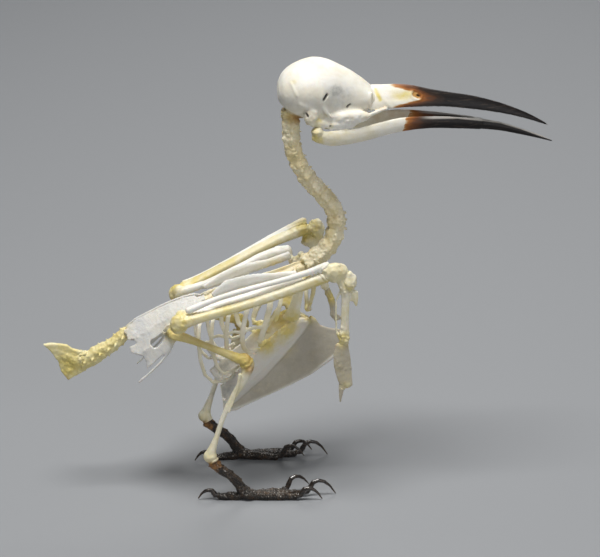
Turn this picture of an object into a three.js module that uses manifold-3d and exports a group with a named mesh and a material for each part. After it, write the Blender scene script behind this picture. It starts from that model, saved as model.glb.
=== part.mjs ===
// A life-size bee-eater skeleton that stands on its own two feet.
// Millimetres, +X forward along the bill, +Y to the bird's left, +Z up, soles on z = 0.
// Every bone is a solid of its own. Bones that touch keep a thin gap, face to face.
import * as THREE from 'three';
import { mergeVertices } from 'three/addons/utils/BufferGeometryUtils.js';
import Module from 'manifold-3d';

const wasm = await Module();
wasm.setup();

// Driving dimensions
const jointGap = 0.3;          // between two bones that touch
const cutGap = 0.38;           // where one bone is cut to the shape of the other
const sideOf = { right: -1, left: 1 };
const sides = Object.keys(sideOf);
const boneSides = 6;           // facets round a long bone
const thinSides = 6;           // facets round a rib or rod
const smallSides = 4;          // facets round a spine or a slip of bone

const craniumSides = 14;
const orbit = { centre: [9.8, 10.2, 94.1], radii: [5.3, 5.4, 4.9] };
const cheek = { centre: [8.6, 4.7, 89.5], radii: [6.6, 1.9, 2.1] };

const neckVertebrae = 13;
const neckRadius = 2.1;
const backVertebrae = 6;
const tailVertebrae = 6;

const ribThickness = 0.34;     // half of it
const plateThickness = 0.6;    // sternum and pelvis walls
const keelThickness = 0.7;

const ulnaRadius = { right: 1.15, left: 1.15 };
const radiusRadius = 0.45;
const humerusRadius = 0.95;
const femurRadius = 0.8;
const tibiaRadius = 0.66;
const tarsusRadius = 1.12;
const clawRadius = 0.62;
const clawLean = 0.22;         // how far the foot of a claw leans back over its joint

// Places of the joints: forward, out from the middle, up
const shoulder = { right: [-0.9, 8.4, 52.4], left: [-1.5, 8.9, 53.3] };
const elbow = { right: [-27.9, 9.5, 45.3], left: [-27.2, 9.4, 44.0] };
const hip = [-29.7, 5.3, 39.9];
const knee = { right: [-13.7, 10.6, 34.6], left: [-13.0, 10.8, 35.9] };
const ankle = { right: [-21.9, 11.2, 11.2], left: [-21.6, 11.2, 11.6] };
const footRoot = { right: [-13.6, 11.3, 2.3], left: [-13.0, 11.3, 2.5] };

// Vectors and curves
const vector = ([x, y, z]) => new THREE.Vector3(x, y, z);
const onSide = (side, points) => points.map(([x, y, z]) => [x, sideOf[side] * y, z]);
const smoothCurve = (points) => new THREE.CatmullRomCurve3(points.map(vector), false, 'centripetal');
const mix = (a, b, t) => a + (b - a) * t;

function mixAlong(values, t) {
  const place = THREE.MathUtils.clamp(t, 0, 1) * (values.length - 1);
  const step = Math.min(Math.floor(place), values.length - 2);
  const share = place - step;
  return values[step].map((value, axis) => mix(value, values[step + 1][axis], share));
}

// A closed solid from its vertices and triangles, faces turned out
function solidFrom(positions, triangles) {
  let volume = 0;
  const corner = (index) => positions[index];
  for (const [a, b, c] of triangles) {
    volume += corner(a).dot(new THREE.Vector3().crossVectors(corner(b), corner(c)));
  }
  const outward = volume > 0 ? triangles : triangles.map(([a, b, c]) => [a, c, b]);
  return new wasm.Manifold(new wasm.Mesh({
    numProp: 3,
    vertProperties: Float32Array.from(positions.flatMap((point) => point.toArray())),
    triVerts: Uint32Array.from(outward.flat()),
  }));
}

function solidOf(geometry) {
  const bare = geometry.index ? geometry.toNonIndexed() : geometry.clone();
  bare.deleteAttribute('normal');
  bare.deleteAttribute('uv');
  const merged = mergeVertices(bare, 1e-4);
  const place = merged.attributes.position;
  const positions = Array.from({ length: place.count }, (_,
    i) => new THREE.Vector3().fromBufferAttribute(place, i));
  const index = Array.from(merged.index.array);
  const triangles = Array.from({ length: index.length / 3 }, (_, i) => index.slice(3 * i, 3 * i + 3));
  return solidFrom(positions, triangles.filter(([a, b, c]) => a !== b && b !== c && c !== a));
}

// Rings of equal length joined into one closed solid with a point at each end
function skin(rings, startTip, endTip) {
  const around = rings[0].length;
  const positions = [...rings.flat(), startTip, endTip];
  const start = positions.length - 2;
  const end = positions.length - 1;
  const triangles = [];
  for (let k = 0; k < around; k += 1) {
    const next = (k + 1) % around;
    for (let row = 0; row + 1 < rings.length; row += 1) {
      const low = row * around;
      const high = low + around;
      triangles.push([low + k, low + next, high + next], [low + k, high + next, high + k]);
    }
    const last = (rings.length - 1) * around;
    triangles.push([start, next, k], [end, last + k, last + next]);
  }
  return solidFrom(positions, triangles);
}

// A bone swept along a smooth path: sizes are [across, along the up direction] half widths
function tube(path, sizes, options = {}) {
  const { around = boneSides, steps = 3 * (path.length - 1), up = [0, 0, 1], round = 0.7,
    flat = '' } = options;
  const curve = smoothCurve(path);
  const upward = vector(up);
  const section = (t, scale, shift) => {
    const tangent = curve.getTangent(t);
    const across = new THREE.Vector3().crossVectors(tangent, upward).normalize();
    const raised = new THREE.Vector3().crossVectors(across, tangent).normalize();
    const [wide, high] = mixAlong(sizes, t);
    const centre = curve.getPoint(t).addScaledVector(tangent, shift);
    return Array.from({ length: around }, (_, k) => {
      const turn = (2 * Math.PI * (k + 0.5)) / around;
      return centre.clone()
        .addScaledVector(across, scale * wide * Math.cos(turn))
        .addScaledVector(raised, scale * high * Math.sin(turn));
    });
  };
  const reach = (t) => round * Math.min(...mixAlong(sizes, t));
  const rings = Array.from({ length: steps + 1 }, (_, k) => section(k / steps, 1, 0));
  const capTurn = Math.PI / 4;
  const startReach = flat.includes('start') ? 0 : reach(0);
  const endReach = flat.includes('end') ? 0 : reach(1);
  if (startReach > 0 && around > smallSides) rings.unshift(section(0, Math.cos(capTurn),
    -startReach * Math.sin(capTurn)));
  if (endReach > 0 && around > smallSides) rings.push(section(1, Math.cos(capTurn),
    endReach * Math.sin(capTurn)));
  const startTip = curve.getPoint(0).addScaledVector(curve.getTangent(0), -startReach);
  const endTip = curve.getPoint(1).addScaledVector(curve.getTangent(1), endReach);
  return skin(rings, startTip, endTip);
}

function ball(centre, radii, detail = 1, pitch = 0) {
  const size = Array.isArray(radii) ? radii : [radii, radii, radii];
  const geometry = new THREE.IcosahedronGeometry(1, detail);
  geometry.scale(...size);
  geometry.rotateY(THREE.MathUtils.degToRad(pitch));
  geometry.translate(...centre);
  return solidOf(geometry);
}

// A pointed spine on a square foot, sunk into what it grows from
function spike(from, to, radius) {
  const [start, end] = [vector(from), vector(to)];
  const axis = end.clone().sub(start).normalize();
  const across = new THREE.Vector3().crossVectors(axis, new THREE.Vector3(0.3, 0.5, 0.8)).normalize();
  const raised = new THREE.Vector3().crossVectors(across, axis);
  const foot = Array.from({ length: smallSides }, (_, k) => {
    const turn = (2 * Math.PI * k) / smallSides;
    return start.clone()
      .addScaledVector(across, radius * Math.cos(turn))
      .addScaledVector(raised, radius * Math.sin(turn));
  });
  return skin([foot], start.clone().addScaledVector(axis, -0.6 * radius), end);
}

// A curved plate of even thickness over a surface in two parameters from 0 to 1
function plate(surface, across, along, thickness) {
  const small = 1e-3;
  const point = (u, v) => vector(surface(u, v));
  const normal = (u, v) => {
    const alongU = point(u + small, v).sub(point(u - small, v));
    const alongV = point(u, v + small).sub(point(u, v - small));
    return alongU.cross(alongV).normalize();
  };
  const positions = [];
  for (const face of [-1, 1]) {
    for (let i = 0; i <= across; i += 1) {
      for (let j = 0; j <= along; j += 1) {
        const [u, v] = [i / across, j / along];
        positions.push(point(u, v).addScaledVector(normal(u, v), (face * thickness) / 2));
      }
    }
  }
  const row = along + 1;
  const upper = row * (across + 1);
  const triangles = [];
  for (let i = 0; i < across; i += 1) {
    for (let j = 0; j < along; j += 1) {
      const a = i * row + j;
      const [b, c, d] = [a + 1, a + row + 1, a + row];
      triangles.push([a, b, c], [a, c, d], [upper + a, upper + c, upper + b],
        [upper + a, upper + d, upper + c]);
    }
  }
  const rim = (a, b) => triangles.push([a, upper + a, upper + b], [a, upper + b, b]);
  for (let j = 0; j < along; j += 1) {
    rim(j, j + 1);
    rim(across * row + j + 1, across * row + j);
  }
  for (let i = 0; i < across; i += 1) {
    rim((i + 1) * row, i * row);
    rim(i * row + along, (i + 1) * row + along);
  }
  return solidFrom(positions, triangles);
}

// A side-view outline given as [forward, up], carried from one y to another
function slab(outline, yFrom, yTo) {
  const shape = new THREE.Shape(outline.map(([x, z]) => new THREE.Vector2(x, z)));
  const geometry = new THREE.ExtrudeGeometry(shape, { depth: yTo - yFrom, bevelEnabled: false });
  geometry.rotateX(Math.PI / 2);
  geometry.translate(0, yTo, 0);
  return solidOf(geometry);
}

// Joining and cutting
const join = (...solids) => solids.flat().reduce((whole, piece) => whole.add(piece));

function largest(solid) {
  const pieces = solid.decompose();
  return pieces.reduce((best, piece) => (piece.volume() > best.volume() ? piece : best));
}

// The same solid with its surface moved out, to cut what touches it
function swollen(solid, distance) {
  const mesh = solid.getMesh();
  const stride = mesh.numProp;
  const count = mesh.vertProperties.length / stride;
  const positions = Array.from({ length: count }, (_,
    i) => vector(mesh.vertProperties.subarray(i * stride, i * stride + 3)));
  const normals = positions.map(() => new THREE.Vector3());
  const triangles = Array.from({ length: mesh.triVerts.length / 3 }, (_,
    i) => Array.from(mesh.triVerts.subarray(3 * i, 3 * i + 3)));
  for (const [a, b, c] of triangles) {
    const edge = positions[b].clone().sub(positions[a]);
    const face = edge.cross(positions[c].clone().sub(positions[a]));
    for (const index of [a, b, c]) normals[index].add(face);
  }
  return solidFrom(positions.map((point, i) => point.addScaledVector(normals[i].normalize(),
    distance)), triangles);
}

const group = new THREE.Group();
const bones = {};

// Names a finished bone, cut clear of the bones it touches
function bone(name, solid, touches, look) {
  let shape = solid;
  for (const other of touches) shape = shape.subtract(swollen(bones[other], cutGap));
  bones[name] = largest(shape);
  const mesh = bones[name].getMesh();
  const geometry = new THREE.BufferGeometry();
  geometry.setAttribute('position', new THREE.BufferAttribute(Float32Array.from(mesh.vertProperties), 3));
  geometry.setIndex(Array.from(mesh.triVerts));
  geometry.computeVertexNormals();
  const piece = new THREE.Mesh(geometry, new THREE.MeshStandardMaterial(look));
  piece.name = name;
  group.add(piece);
}

// Looks
const whiteBone = { color: 0xf0ece0, roughness: 0.55, metalness: 0 };
const yellowBone = { color: 0xe3d59a, roughness: 0.6, metalness: 0 };
const hornBill = { color: 0x2a201b, roughness: 0.35, metalness: 0 };
const driedSkin = { color: 0x2b2622, roughness: 0.7, metalness: 0 };
const blackClaw = { color: 0x15120f, roughness: 0.3, metalness: 0 };

// Skull: half rings from back to brow, each [forward, top, bottom, half width]
const skullStations = [
  [-4.9, 96.6, 92.6, 2.6], [-4.0, 98.4, 91.3, 4.6], [-2.2, 100.1, 89.8, 6.2], [0.4, 101.4, 88.6, 7.3],
  [3.2, 102.0, 88.0, 7.6], [6.0, 101.5, 87.9, 7.1], [8.8, 100.2, 88.0, 6.3], [11.4, 98.8, 88.4, 5.5],
  [13.8, 97.1, 89.0, 4.7], [15.4, 95.8, 89.8, 4.1], [16.2, 95.0, 90.3, 3.6],
];

function crossSection([x, top, bottom, half]) {
  return Array.from({ length: craniumSides }, (_, k) => {
    const turn = (2 * Math.PI * (k + 0.5)) / craniumSides;
    return new THREE.Vector3(x, half * Math.cos(turn), mix(bottom, top, 0.5 + 0.5 * Math.sin(turn)));
  });
}

function makeSkull() {
  const rings = skullStations.map(crossSection);
  let skull = skin(rings, vector([-5.2, 0, 94.7]), vector([16.3, 0, 92.6]));
  for (const side of sides) {
    const [centre] = onSide(side, [orbit.centre]);
    skull = skull.subtract(ball(centre, orbit.radii, 2));
    const brow = onSide(side, [[4.2, 6.4, 93.6], [5.2, 6.6, 91.4], [6.3, 6.5, 90.0]]);
    const quadrate = onSide(side, [[1.9, 6.1, 90.2]])[0];
    const jugal = onSide(side, [[2.6, 6.5, 89.1], [6.2, 6.3, 88.2], [9.5, 5.9, 88.2],
      [12.8, 5.4, 88.8], [16.2, 4.6, 90.2], [19.0, 4.0, 91.0]]);
    const palatine = onSide(side, [[5.0, 2.6, 88.6], [10.5, 2.4, 88.0], [15.2, 1.8, 90.4]]);
    const lacrimal = onSide(side, [[15.6, 3.6, 94.6], [15.4, 3.9, 92.2], [15.6, 3.8, 90.4]]);
    skull = join(
      skull,
      tube(brow, [[0.8, 0.9], [0.6, 0.6], [0.3, 0.3]], { around: smallSides, steps: 2, up: [1, 0, 0] }),
      ball(quadrate, [2.0, 1.4, 2.5], 0, 20),
      ball(onSide(side, [cheek.centre])[0], cheek.radii),
      tube(jugal, [[0.5, 0.8], [0.45, 1.0], [0.45, 1.1], [0.4, 0.8], [0.4, 0.5], [0.36, 0.36]],
        { around: smallSides, steps: 5 }),
      tube(palatine, [[0.9, 0.4], [1.1, 0.4], [0.7, 0.4]], { around: smallSides, steps: 2 }),
      tube(lacrimal, [[0.6, 0.7], [0.5, 0.6], [0.4, 0.4]], { around: smallSides, steps: 2, up: [1, 0, 0] }),
    );
  }
  const condyle = ball([-2.4, 0, 90.3], 0.8, 0);
  return join(skull, condyle);
}
bone('skull', makeSkull(), [], whiteBone);

// Upper bill: [forward, top, bottom, half width], long, narrow and bent down to a point
const upperBillStations = [
  [16.7, 95.2, 90.6, 3.7], [18.5, 95.4, 90.8, 3.8], [21.5, 95.4, 90.8, 3.5], [25.0, 95.1, 90.7, 2.8],
  [29.3, 94.1, 90.5, 2.2], [33.9, 93.2, 90.1, 1.75], [38.4, 92.4, 89.4, 1.4], [43.0, 91.2, 88.6, 1.1],
  [47.6, 89.6, 87.6, 0.85], [52.3, 87.5, 86.2, 0.58], [55.6, 85.6, 85.0, 0.32],
];

function makeUpperBill() {
  const rings = upperBillStations.map(([x, top, bottom, half]) => {
    const keelShape = [[1, 0], [0.97, 0.28], [0.72, 0.62], [0.34, 0.92]];
    const right = keelShape.map(([wide, high]) => [-wide * half, mix(bottom, top, high)]);
    const left = keelShape.map(([wide, high]) => [wide * half, mix(bottom, top, high)]).reverse();
    return [...right, [0, top], ...left, [0, mix(bottom, top, 0.12)]].map(([y, z]) => vector([x, y, z]));
  });
  return skin(rings, vector([16.6, 0, 92.8]), vector([57.2, 0, 84.4]));
}
bone('upper_bill', makeUpperBill(), ['skull'], hornBill);

// Lower jaw: two rami that meet in a long narrow tip, each place [forward, out, up]
const ramusPath = [[2.9, 6.5, 85.7], [6.5, 6.4, 85.1], [12.5, 5.4, 85.4], [17.5, 4.3, 86.2],
  [22.5, 3.3, 86.9], [29.0, 2.2, 86.9], [35.5, 1.2, 86.3], [41.0, 0.35, 85.6]];
const ramusSizes = [[0.75, 1.35], [0.7, 1.75], [0.6, 1.75], [0.6, 1.7], [0.65, 1.65], [0.75, 1.4],
  [0.7, 1.35], [0.6, 1.3]];
const jawTipPath = [[39.5, 0, 85.8], [45.5, 0, 84.8], [50.1, 0, 83.5], [54.8, 0, 82.0], [57.6, 0, 80.95]];
const jawTipSizes = [[0.85, 1.3], [0.65, 1.0], [0.5, 0.72], [0.36, 0.42], [0.2, 0.15]];

function makeLowerJaw() {
  const rami = sides.map((side) => join(
    tube(onSide(side, ramusPath), ramusSizes, { around: thinSides, steps: 10 }),
    ball(onSide(side, [[3.2, 6.2, 86.8]])[0], [1.4, 1.5, 1.1]),
    spike(...onSide(side, [[3.2, 6.5, 85.1], [1.7, 6.3, 85.4]]), 1.0),
  ));
  return join(rami, tube(jawTipPath, jawTipSizes, { around: thinSides, steps: 6 }));
}
bone('lower_jaw', makeLowerJaw(), [], hornBill);

// Neck: an S from the skull to the shoulders, parted into three lengths
const neckPath = [[-2.2, 0, 90.2], [-2.1, 0, 86.2], [-1.9, 0, 82.4], [-0.6, 0, 78.2], [1.8, 0, 73.8],
  [4.9, 0, 70.2], [7.6, 0, 66.6], [8.4, 0, 62.4], [7.3, 0, 58.6], [4.6, 0, 55.6], [1.4, 0, 53.3]];
const neckCurve = smoothCurve(neckPath);
const neckParts = { neck_upper: [0, 5], neck_middle: [5, 9], neck_lower: [9, 13] };

// The section of one vertebra: wide at both ends, drawn in at its waist
const vertebraWaist = (share) => 0.96 + 0.08 * Math.cos(2 * Math.PI * share);

function neckLength([first, last]) {
  const ringsPerBone = 2;
  const count = (last - first) * ringsPerBone;
  const total = neckCurve.getLength();
  const trim = jointGap / 2 / total;
  const shareAt = (k) => mix(first / neckVertebrae + trim, last / neckVertebrae - trim, k / count);
  const rings = Array.from({ length: count + 1 }, (_, k) => {
    const share = shareAt(k);
    const tangent = neckCurve.getTangentAt(share);
    const raised = new THREE.Vector3().crossVectors(tangent, new THREE.Vector3(0, 1, 0)).normalize();
    const size = neckRadius * vertebraWaist(share * neckVertebrae) * mix(0.98, 1.06, share);
    return Array.from({ length: boneSides }, (_, j) => {
      const turn = (2 * Math.PI * (j + 0.5)) / boneSides;
      return neckCurve.getPointAt(share)
        .addScaledVector(raised, size * Math.cos(turn))
        .add(new THREE.Vector3(0, 1.05 * size * Math.sin(turn), 0));
    });
  });
  const spines = [];
  for (let index = first; index < last; index += 1) {
    const share = (index + 0.5) / neckVertebrae;
    const centre = neckCurve.getPointAt(share);
    const tangent = neckCurve.getTangentAt(share);
    const raised = new THREE.Vector3().crossVectors(tangent, new THREE.Vector3(0, 1, 0)).normalize();
    const place = (back, out, down) => centre.clone().addScaledVector(raised, back)
      .addScaledVector(tangent, down).add(new THREE.Vector3(0, out, 0)).toArray();
    const height = 2.6 + 0.25 * Math.sin(2.3 * index);
    spines.push(spike(place(0.9, 0, -0.3), place(height, 0, 0.5), 0.62));
    for (const out of [-1, 1]) {
      spines.push(spike(place(0.3, out * 1.0, -0.9), place(0.7, out * 2.45, -1.15), 0.62));
    }
  }
  return join(skin(rings, neckCurve.getPointAt(shareAt(0)), neckCurve.getPointAt(shareAt(count))), spines);
}
bone('neck_upper', neckLength(neckParts.neck_upper), ['skull'], whiteBone);
bone('neck_middle', neckLength(neckParts.neck_middle), ['neck_upper'], whiteBone);
bone('neck_lower', neckLength(neckParts.neck_lower), ['neck_middle'], whiteBone);

// Back: thoracic vertebrae from the neck to the pelvis
const backPath = [[0.6, 0, 52.4], [-5.0, 0, 50.3], [-11.0, 0, 48.5], [-17.0, 0, 46.9], [-21.6, 0, 45.4]];
const backCurve = smoothCurve(backPath);

function makeBack() {
  const pieces = [
    tube(backPath, [[1.5, 1.5], [1.3, 1.3], [1.25, 1.25], [1.3, 1.3]], { steps: 8, flat: 'end' }),
    tube(backPath.map(([x, y, z]) => [x, y, z + 1.5]), [[0.35, 0.7], [0.35, 1.0], [0.35, 1.0], [0.35, 0.8]],
      { around: smallSides, steps: 5 }),
  ];
  for (let index = 0; index < backVertebrae; index += 1) {
    const centre = backCurve.getPointAt((index + 0.5) / backVertebrae);
    for (const out of [-1, 1]) {
      pieces.push(spike([centre.x, out * 0.7, centre.z + 0.5],
        [centre.x - 0.3, out * 2.9, centre.z + 0.9], 0.8));
    }
  }
  return join(pieces);
}
bone('back', makeBack(), ['neck_lower'], whiteBone);

// Pelvis: two thin curved wings on the fused vertebrae, with the two rod-like pubes
const wingOutline = [[-22.6, 46.0], [-24.4, 46.9], [-27.6, 46.4], [-32.3, 45.0], [-36.9, 42.4],
  [-40.3, 39.1], [-39.8, 37.3], [-38.4, 37.6], [-37.8, 36.7], [-39.5, 35.8], [-39.2, 34.7],
  [-36.7, 34.2], [-35.9, 32.9], [-35.7, 30.6], [-34.6, 31.2], [-32.6, 33.3], [-30.6, 36.0],
  [-29.7, 37.3], [-28.2, 38.4], [-27.0, 41.6], [-23.8, 44.2]];
const wingWindow = [[-34.8, 36.8], [-34.0, 36.0], [-33.1, 36.4], [-31.9, 37.7], [-31.3, 38.9],
  [-32.0, 39.5], [-34.7, 37.6]];
const hipSocketRadius = 1.35;
const synsacrumPath = [[-21.9, 0, 45.3], [-28.0, 0, 43.6], [-34.0, 0, 41.4], [-39.6, 0, 38.7]];

function pelvisWing(side) {
  const surface = (u, v) => {
    const x = mix(-21.6, -41.4, u);
    const crest = mixAlong([[47.6], [46.4], [44.6], [42.0], [39.6]], u)[0];
    const flare = mixAlong([[3.4], [4.9], [5.3], [4.9], [4.4]], u)[0];
    const drop = mix(5.5, 13.5, u) * v * mix(0.75, 1, v);
    return [x, sideOf[side] * (0.5 + flare * Math.sin((v * Math.PI) / 2)), crest - drop];
  };
  const wing = plate(surface, 7, 3, plateThickness);
  return wing.intersect(slab(wingOutline, -9, 9)).subtract(slab(wingWindow, -9, 9));
}

function makePelvis() {
  const pieces = [tube(synsacrumPath, [[1.3, 1.4], [1.6, 1.3], [1.5, 1.1],
    [1.0, 0.9]], { steps: 5, flat: 'start end' })];
  for (const side of sides) {
    const pubis = onSide(side, [[-29.4, 5.3, 37.8], [-30.9, 5.7, 34.7], [-34.6, 5.8, 30.8],
      [-37.6, 5.6, 28.0]]);
    const rim = onSide(side, [[-28.3, 5.1, 38.9], [-28.6, 5.3, 41.0], [-30.5, 5.4, 41.8],
      [-31.6, 5.4, 40.4]]);
    pieces.push(
      pelvisWing(side),
      tube(pubis, [[0.4, 0.4], [0.38, 0.38], [0.32, 0.32]], { around: smallSides, steps: 4 }),
      tube(rim, [[0.5, 0.45], [0.55, 0.5], [0.5, 0.45]], { around: smallSides, steps: 4, up: [0, 1, 0] }),
    );
  }
  const sockets = sides.map((side) => ball(onSide(side, [[hip[0], hip[1] + 0.4, hip[2]]])[0],
    hipSocketRadius));
  return join(pieces).subtract(join(sockets));
}
bone('pelvis', makePelvis(), [], whiteBone);

// Tail: free vertebrae with spines above and below, then the plough-shaped last bone
const tailPath = [[-40.05, 0, 38.4], [-41.5, 0, 36.7], [-43.9, 0, 34.9], [-46.2, 0, 33.6],
  [-48.4, 0, 32.1], [-50.6, 0, 31.5]];
const tailCurve = smoothCurve(tailPath);

function makeTail() {
  const pieces = [tube(tailPath, [[1.3, 1.3], [1.4, 1.5], [1.4, 1.8], [1.3, 2.1],
    [1.1, 2.3]], { steps: 9, flat: 'start end' })];
  for (let index = 0; index < tailVertebrae; index += 1) {
    const share = (index + 0.5) / tailVertebrae;
    const centre = tailCurve.getPointAt(share);
    const wide = mix(2.7, 1.9, share);
    pieces.push(spike([centre.x, 0, centre.z + 0.5],
      [centre.x - 0.9, 0, centre.z + mix(1.9, 2.7, share)], 0.6));
    pieces.push(spike([centre.x, 0, centre.z - 0.5],
      [centre.x - 0.1, 0, centre.z - mix(2.9, 3.1, share)], 0.6));
    for (const out of [-1, 1]) {
      pieces.push(spike([centre.x, out * 0.6, centre.z],
        [centre.x - 0.7, out * wide, centre.z - 0.4], 0.6));
    }
  }
  return join(pieces);
}
bone('tail', makeTail(), ['pelvis'], yellowBone);

const pygostyleOutline = [[-49.9, 33.9], [-52.5, 34.6], [-53.6, 35.6], [-55.3, 36.0], [-57.3, 36.3],
  [-59.1, 36.0], [-57.4, 34.3], [-55.8, 31.7], [-55.2, 29.4], [-53.7, 27.2], [-52.1, 28.1],
  [-50.4, 28.9]];
const pygostyleHalf = 0.55;
bone('pygostyle', join(
  slab(pygostyleOutline, -pygostyleHalf, pygostyleHalf),
  tube([[-50.8, 0, 31.5], [-53.4, 0, 32.6], [-56.4, 0, 34.6]], [[1.1, 1.9], [1.0, 1.3],
    [0.7, 0.8]], { steps: 4 }),
), ['tail'], yellowBone);

// Sternum: a trough of two thin halves over a deep keel
const sternumRoot = [[2.3, 0, 39.3], [0.6, 0, 36.0], [-3.5, 0, 31.1], [-8.9, 0, 25.5],
  [-14.1, 0, 20.9], [-17.8, 0, 17.9]];
const sternumEdge = [[-1.2, 3.0, 41.3], [-4.6, 4.7, 40.0], [-8.2, 5.5, 37.0], [-12.3, 5.9, 32.7],
  [-16.0, 6.4, 29.6], [-18.9, 6.3, 26.6]];
const keelOutline = [[2.5, 40.6], [3.7, 39.7], [4.7, 38.1], [7.0, 37.3], [9.3, 37.0], [10.6, 35.4],
  [10.3, 33.4], [9.2, 31.6], [7.3, 29.3], [2.3, 25.8], [-2.3, 23.5], [-7.0, 21.4], [-11.7, 19.3],
  [-14.8, 17.7], [-17.0, 17.3], [-16.9, 18.6], [-14.1, 21.2], [-8.9, 25.8], [-3.5, 31.4], [0.6, 36.3],
  [1.6, 39.2]];
const sternumNotch = [[-17.2, 22.6], [-20.5, 21.6], [-20.5, 24.6]];

function sternumHalf(side) {
  const surface = (u, v) => {
    const [rootX, , rootZ] = mixAlong(sternumRoot, u);
    const [edgeX, edgeY, edgeZ] = mixAlong(sternumEdge, u);
    const out = Math.sin((v * Math.PI) / 2);
    const rise = 1 - Math.cos((v * Math.PI) / 2);
    const climb = mix(v, rise, 0.45);
    return [mix(rootX, edgeX, climb), sideOf[side] * edgeY * out, mix(rootZ, edgeZ, climb)];
  };
  return plate(surface, 7, 4, plateThickness).subtract(slab(sternumNotch, -9, 9));
}

function makeSternum() {
  const pieces = [slab(keelOutline, -keelThickness / 2, keelThickness / 2)];
  for (const side of sides) {
    const club = onSide(side, [[-17.4, 6.3, 27.6], [-19.6, 6.8, 28.9], [-20.8, 7.0, 31.2]]);
    const lip = onSide(side, [[1.9, 0.3, 39.6], [-0.2, 2.2, 40.6], [-2.0, 3.6, 41.2]]);
    pieces.push(
      sternumHalf(side),
      tube(club, [[0.4, 0.6], [0.4, 0.65], [0.4, 1.0]], { around: thinSides, steps: 3, up: [1, 0, 0] }),
      tube(lip, [[0.8, 0.5], [0.8, 0.5], [0.5, 0.4]], { around: smallSides, steps: 2 }),
    );
  }
  return join(pieces);
}
bone('sternum', makeSternum(), [], whiteBone);

// Coracoids stand on the front of the sternum and carry the shoulders
const coracoidPath = [[-0.6, 7.0, 51.8], [-1.2, 6.2, 47.6], [-2.1, 5.1, 43.6], [-2.6, 4.3, 41.6]];
const coracoidSizes = [[1.2, 1.2], [1.2, 0.8], [1.7, 0.5], [2.1, 0.45]];
// Shoulder blades lie back along the ribs
const scapulaPaths = {
  right: [[-1.6, 6.5, 53.2], [-6.5, 6.1, 52.8], [-12.0, 5.4, 51.9], [-17.0, 4.9, 50.4], [-20.4, 4.6, 48.3]],
  left: [[-1.8, 6.5, 53.2], [-6.5, 6.4, 51.6], [-12.0, 6.7, 50.1], [-17.0, 6.9, 47.9], [-21.6, 6.9, 45.9]],
};
const scapulaSizes = [[0.5, 1.1], [0.35, 1.0], [0.32, 1.5], [0.32, 1.6], [0.28, 0.7]];
for (const side of sides) {
  const coracoid = tube(onSide(side, coracoidPath), coracoidSizes,
    { steps: 7, up: [0, sideOf[side], 0.25] });
  bone(`coracoid_${side}`, coracoid, ['sternum'], whiteBone);
  const scapula = tube(onSide(side, scapulaPaths[side]), scapulaSizes, { around: thinSides, steps: 8 });
  bone(`scapula_${side}`, scapula,
    [`coracoid_${side}`, 'neck_lower', 'back'], whiteBone);
}

const furculaHalf = [[0.9, 6.9, 53.3], [2.5, 6.3, 50.2], [2.1, 5.2, 46.8], [1.8, 2.8, 43.8]];
const furculaPath = [...onSide('right', furculaHalf), [1.9, 0, 42.3], ...onSide('left',
  furculaHalf).reverse()];
bone('furcula', tube(furculaPath, [[0.75, 0.8], [0.5, 0.6], [0.45, 0.5], [0.45, 0.5], [0.55, 0.7],
  [0.45, 0.5],
  [0.45, 0.5], [0.5, 0.6], [0.75, 0.8]], { around: thinSides, steps: 16, up: [1, 0, 0] }),
['sternum', 'coracoid_right', 'coracoid_left', 'scapula_right', 'scapula_left', 'neck_lower'], yellowBone);

// Ribs from the last to the first: each runs down the side, then forward to the sternum
const ribPaths = [
  [[-20.2, 2.7, 46.6], [-22.6, 5.2, 44.4], [-23.9, 6.6, 40.4], [-23.8, 7.0, 36.0], [-23.1, 7.2, 31.2],
  [-21.4, 7.3, 28.2], [-18.8, 7.2, 28.0], [-16.4, 7.1, 29.0]],
  [[-17.4, 2.7, 47.4], [-19.6, 5.7, 45.6], [-20.9, 7.1, 41.6], [-21.0, 7.4, 37.6], [-20.3, 7.6, 33.4],
  [-18.9, 7.6, 30.3], [-16.9, 7.4, 30.3], [-14.8, 7.0, 31.6]],
  [[-14.2, 2.7, 48.2], [-16.2, 6.1, 46.6], [-17.4, 7.7, 42.8], [-17.7, 8.0, 38.4], [-17.2, 8.0, 34.6],
  [-15.6, 7.7, 32.6], [-13.6, 7.0, 33.2], [-12.3, 6.6, 34.4]],
  [[-10.6, 2.7, 49.2], [-12.2, 6.2, 47.4], [-13.4, 8.0, 43.4], [-14.1, 8.3, 39.6], [-13.9, 8.2, 37.0],
  [-13.0, 7.6, 35.4], [-11.7, 6.9, 34.9], [-10.6, 6.3, 35.4]],
  [[-6.6, 2.7, 50.3], [-7.2, 6.0, 48.4], [-7.9, 7.6, 44.8], [-9.0, 7.9, 41.2], [-9.9, 7.7, 38.3],
  [-10.3, 7.2, 36.7], [-9.4, 6.6, 36.6], [-8.4, 6.2, 37.3]],
  [[-3.2, 2.7, 51.4], [-4.2, 5.0, 49.9], [-5.0, 6.4, 47.2], [-5.7, 7.0, 44.4], [-6.4, 7.2, 42.4]],
];
const ribHalfWidths = [0.6, 0.6, 0.7, 0.8, 0.9, 0.7];
// A hooked process from each rib laps over the rib behind it: [height on the rib from 0 to 1, rise]
const hookPlaces = [null, 0.42, 0.40, 0.40, 0.42, 0.62];

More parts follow.
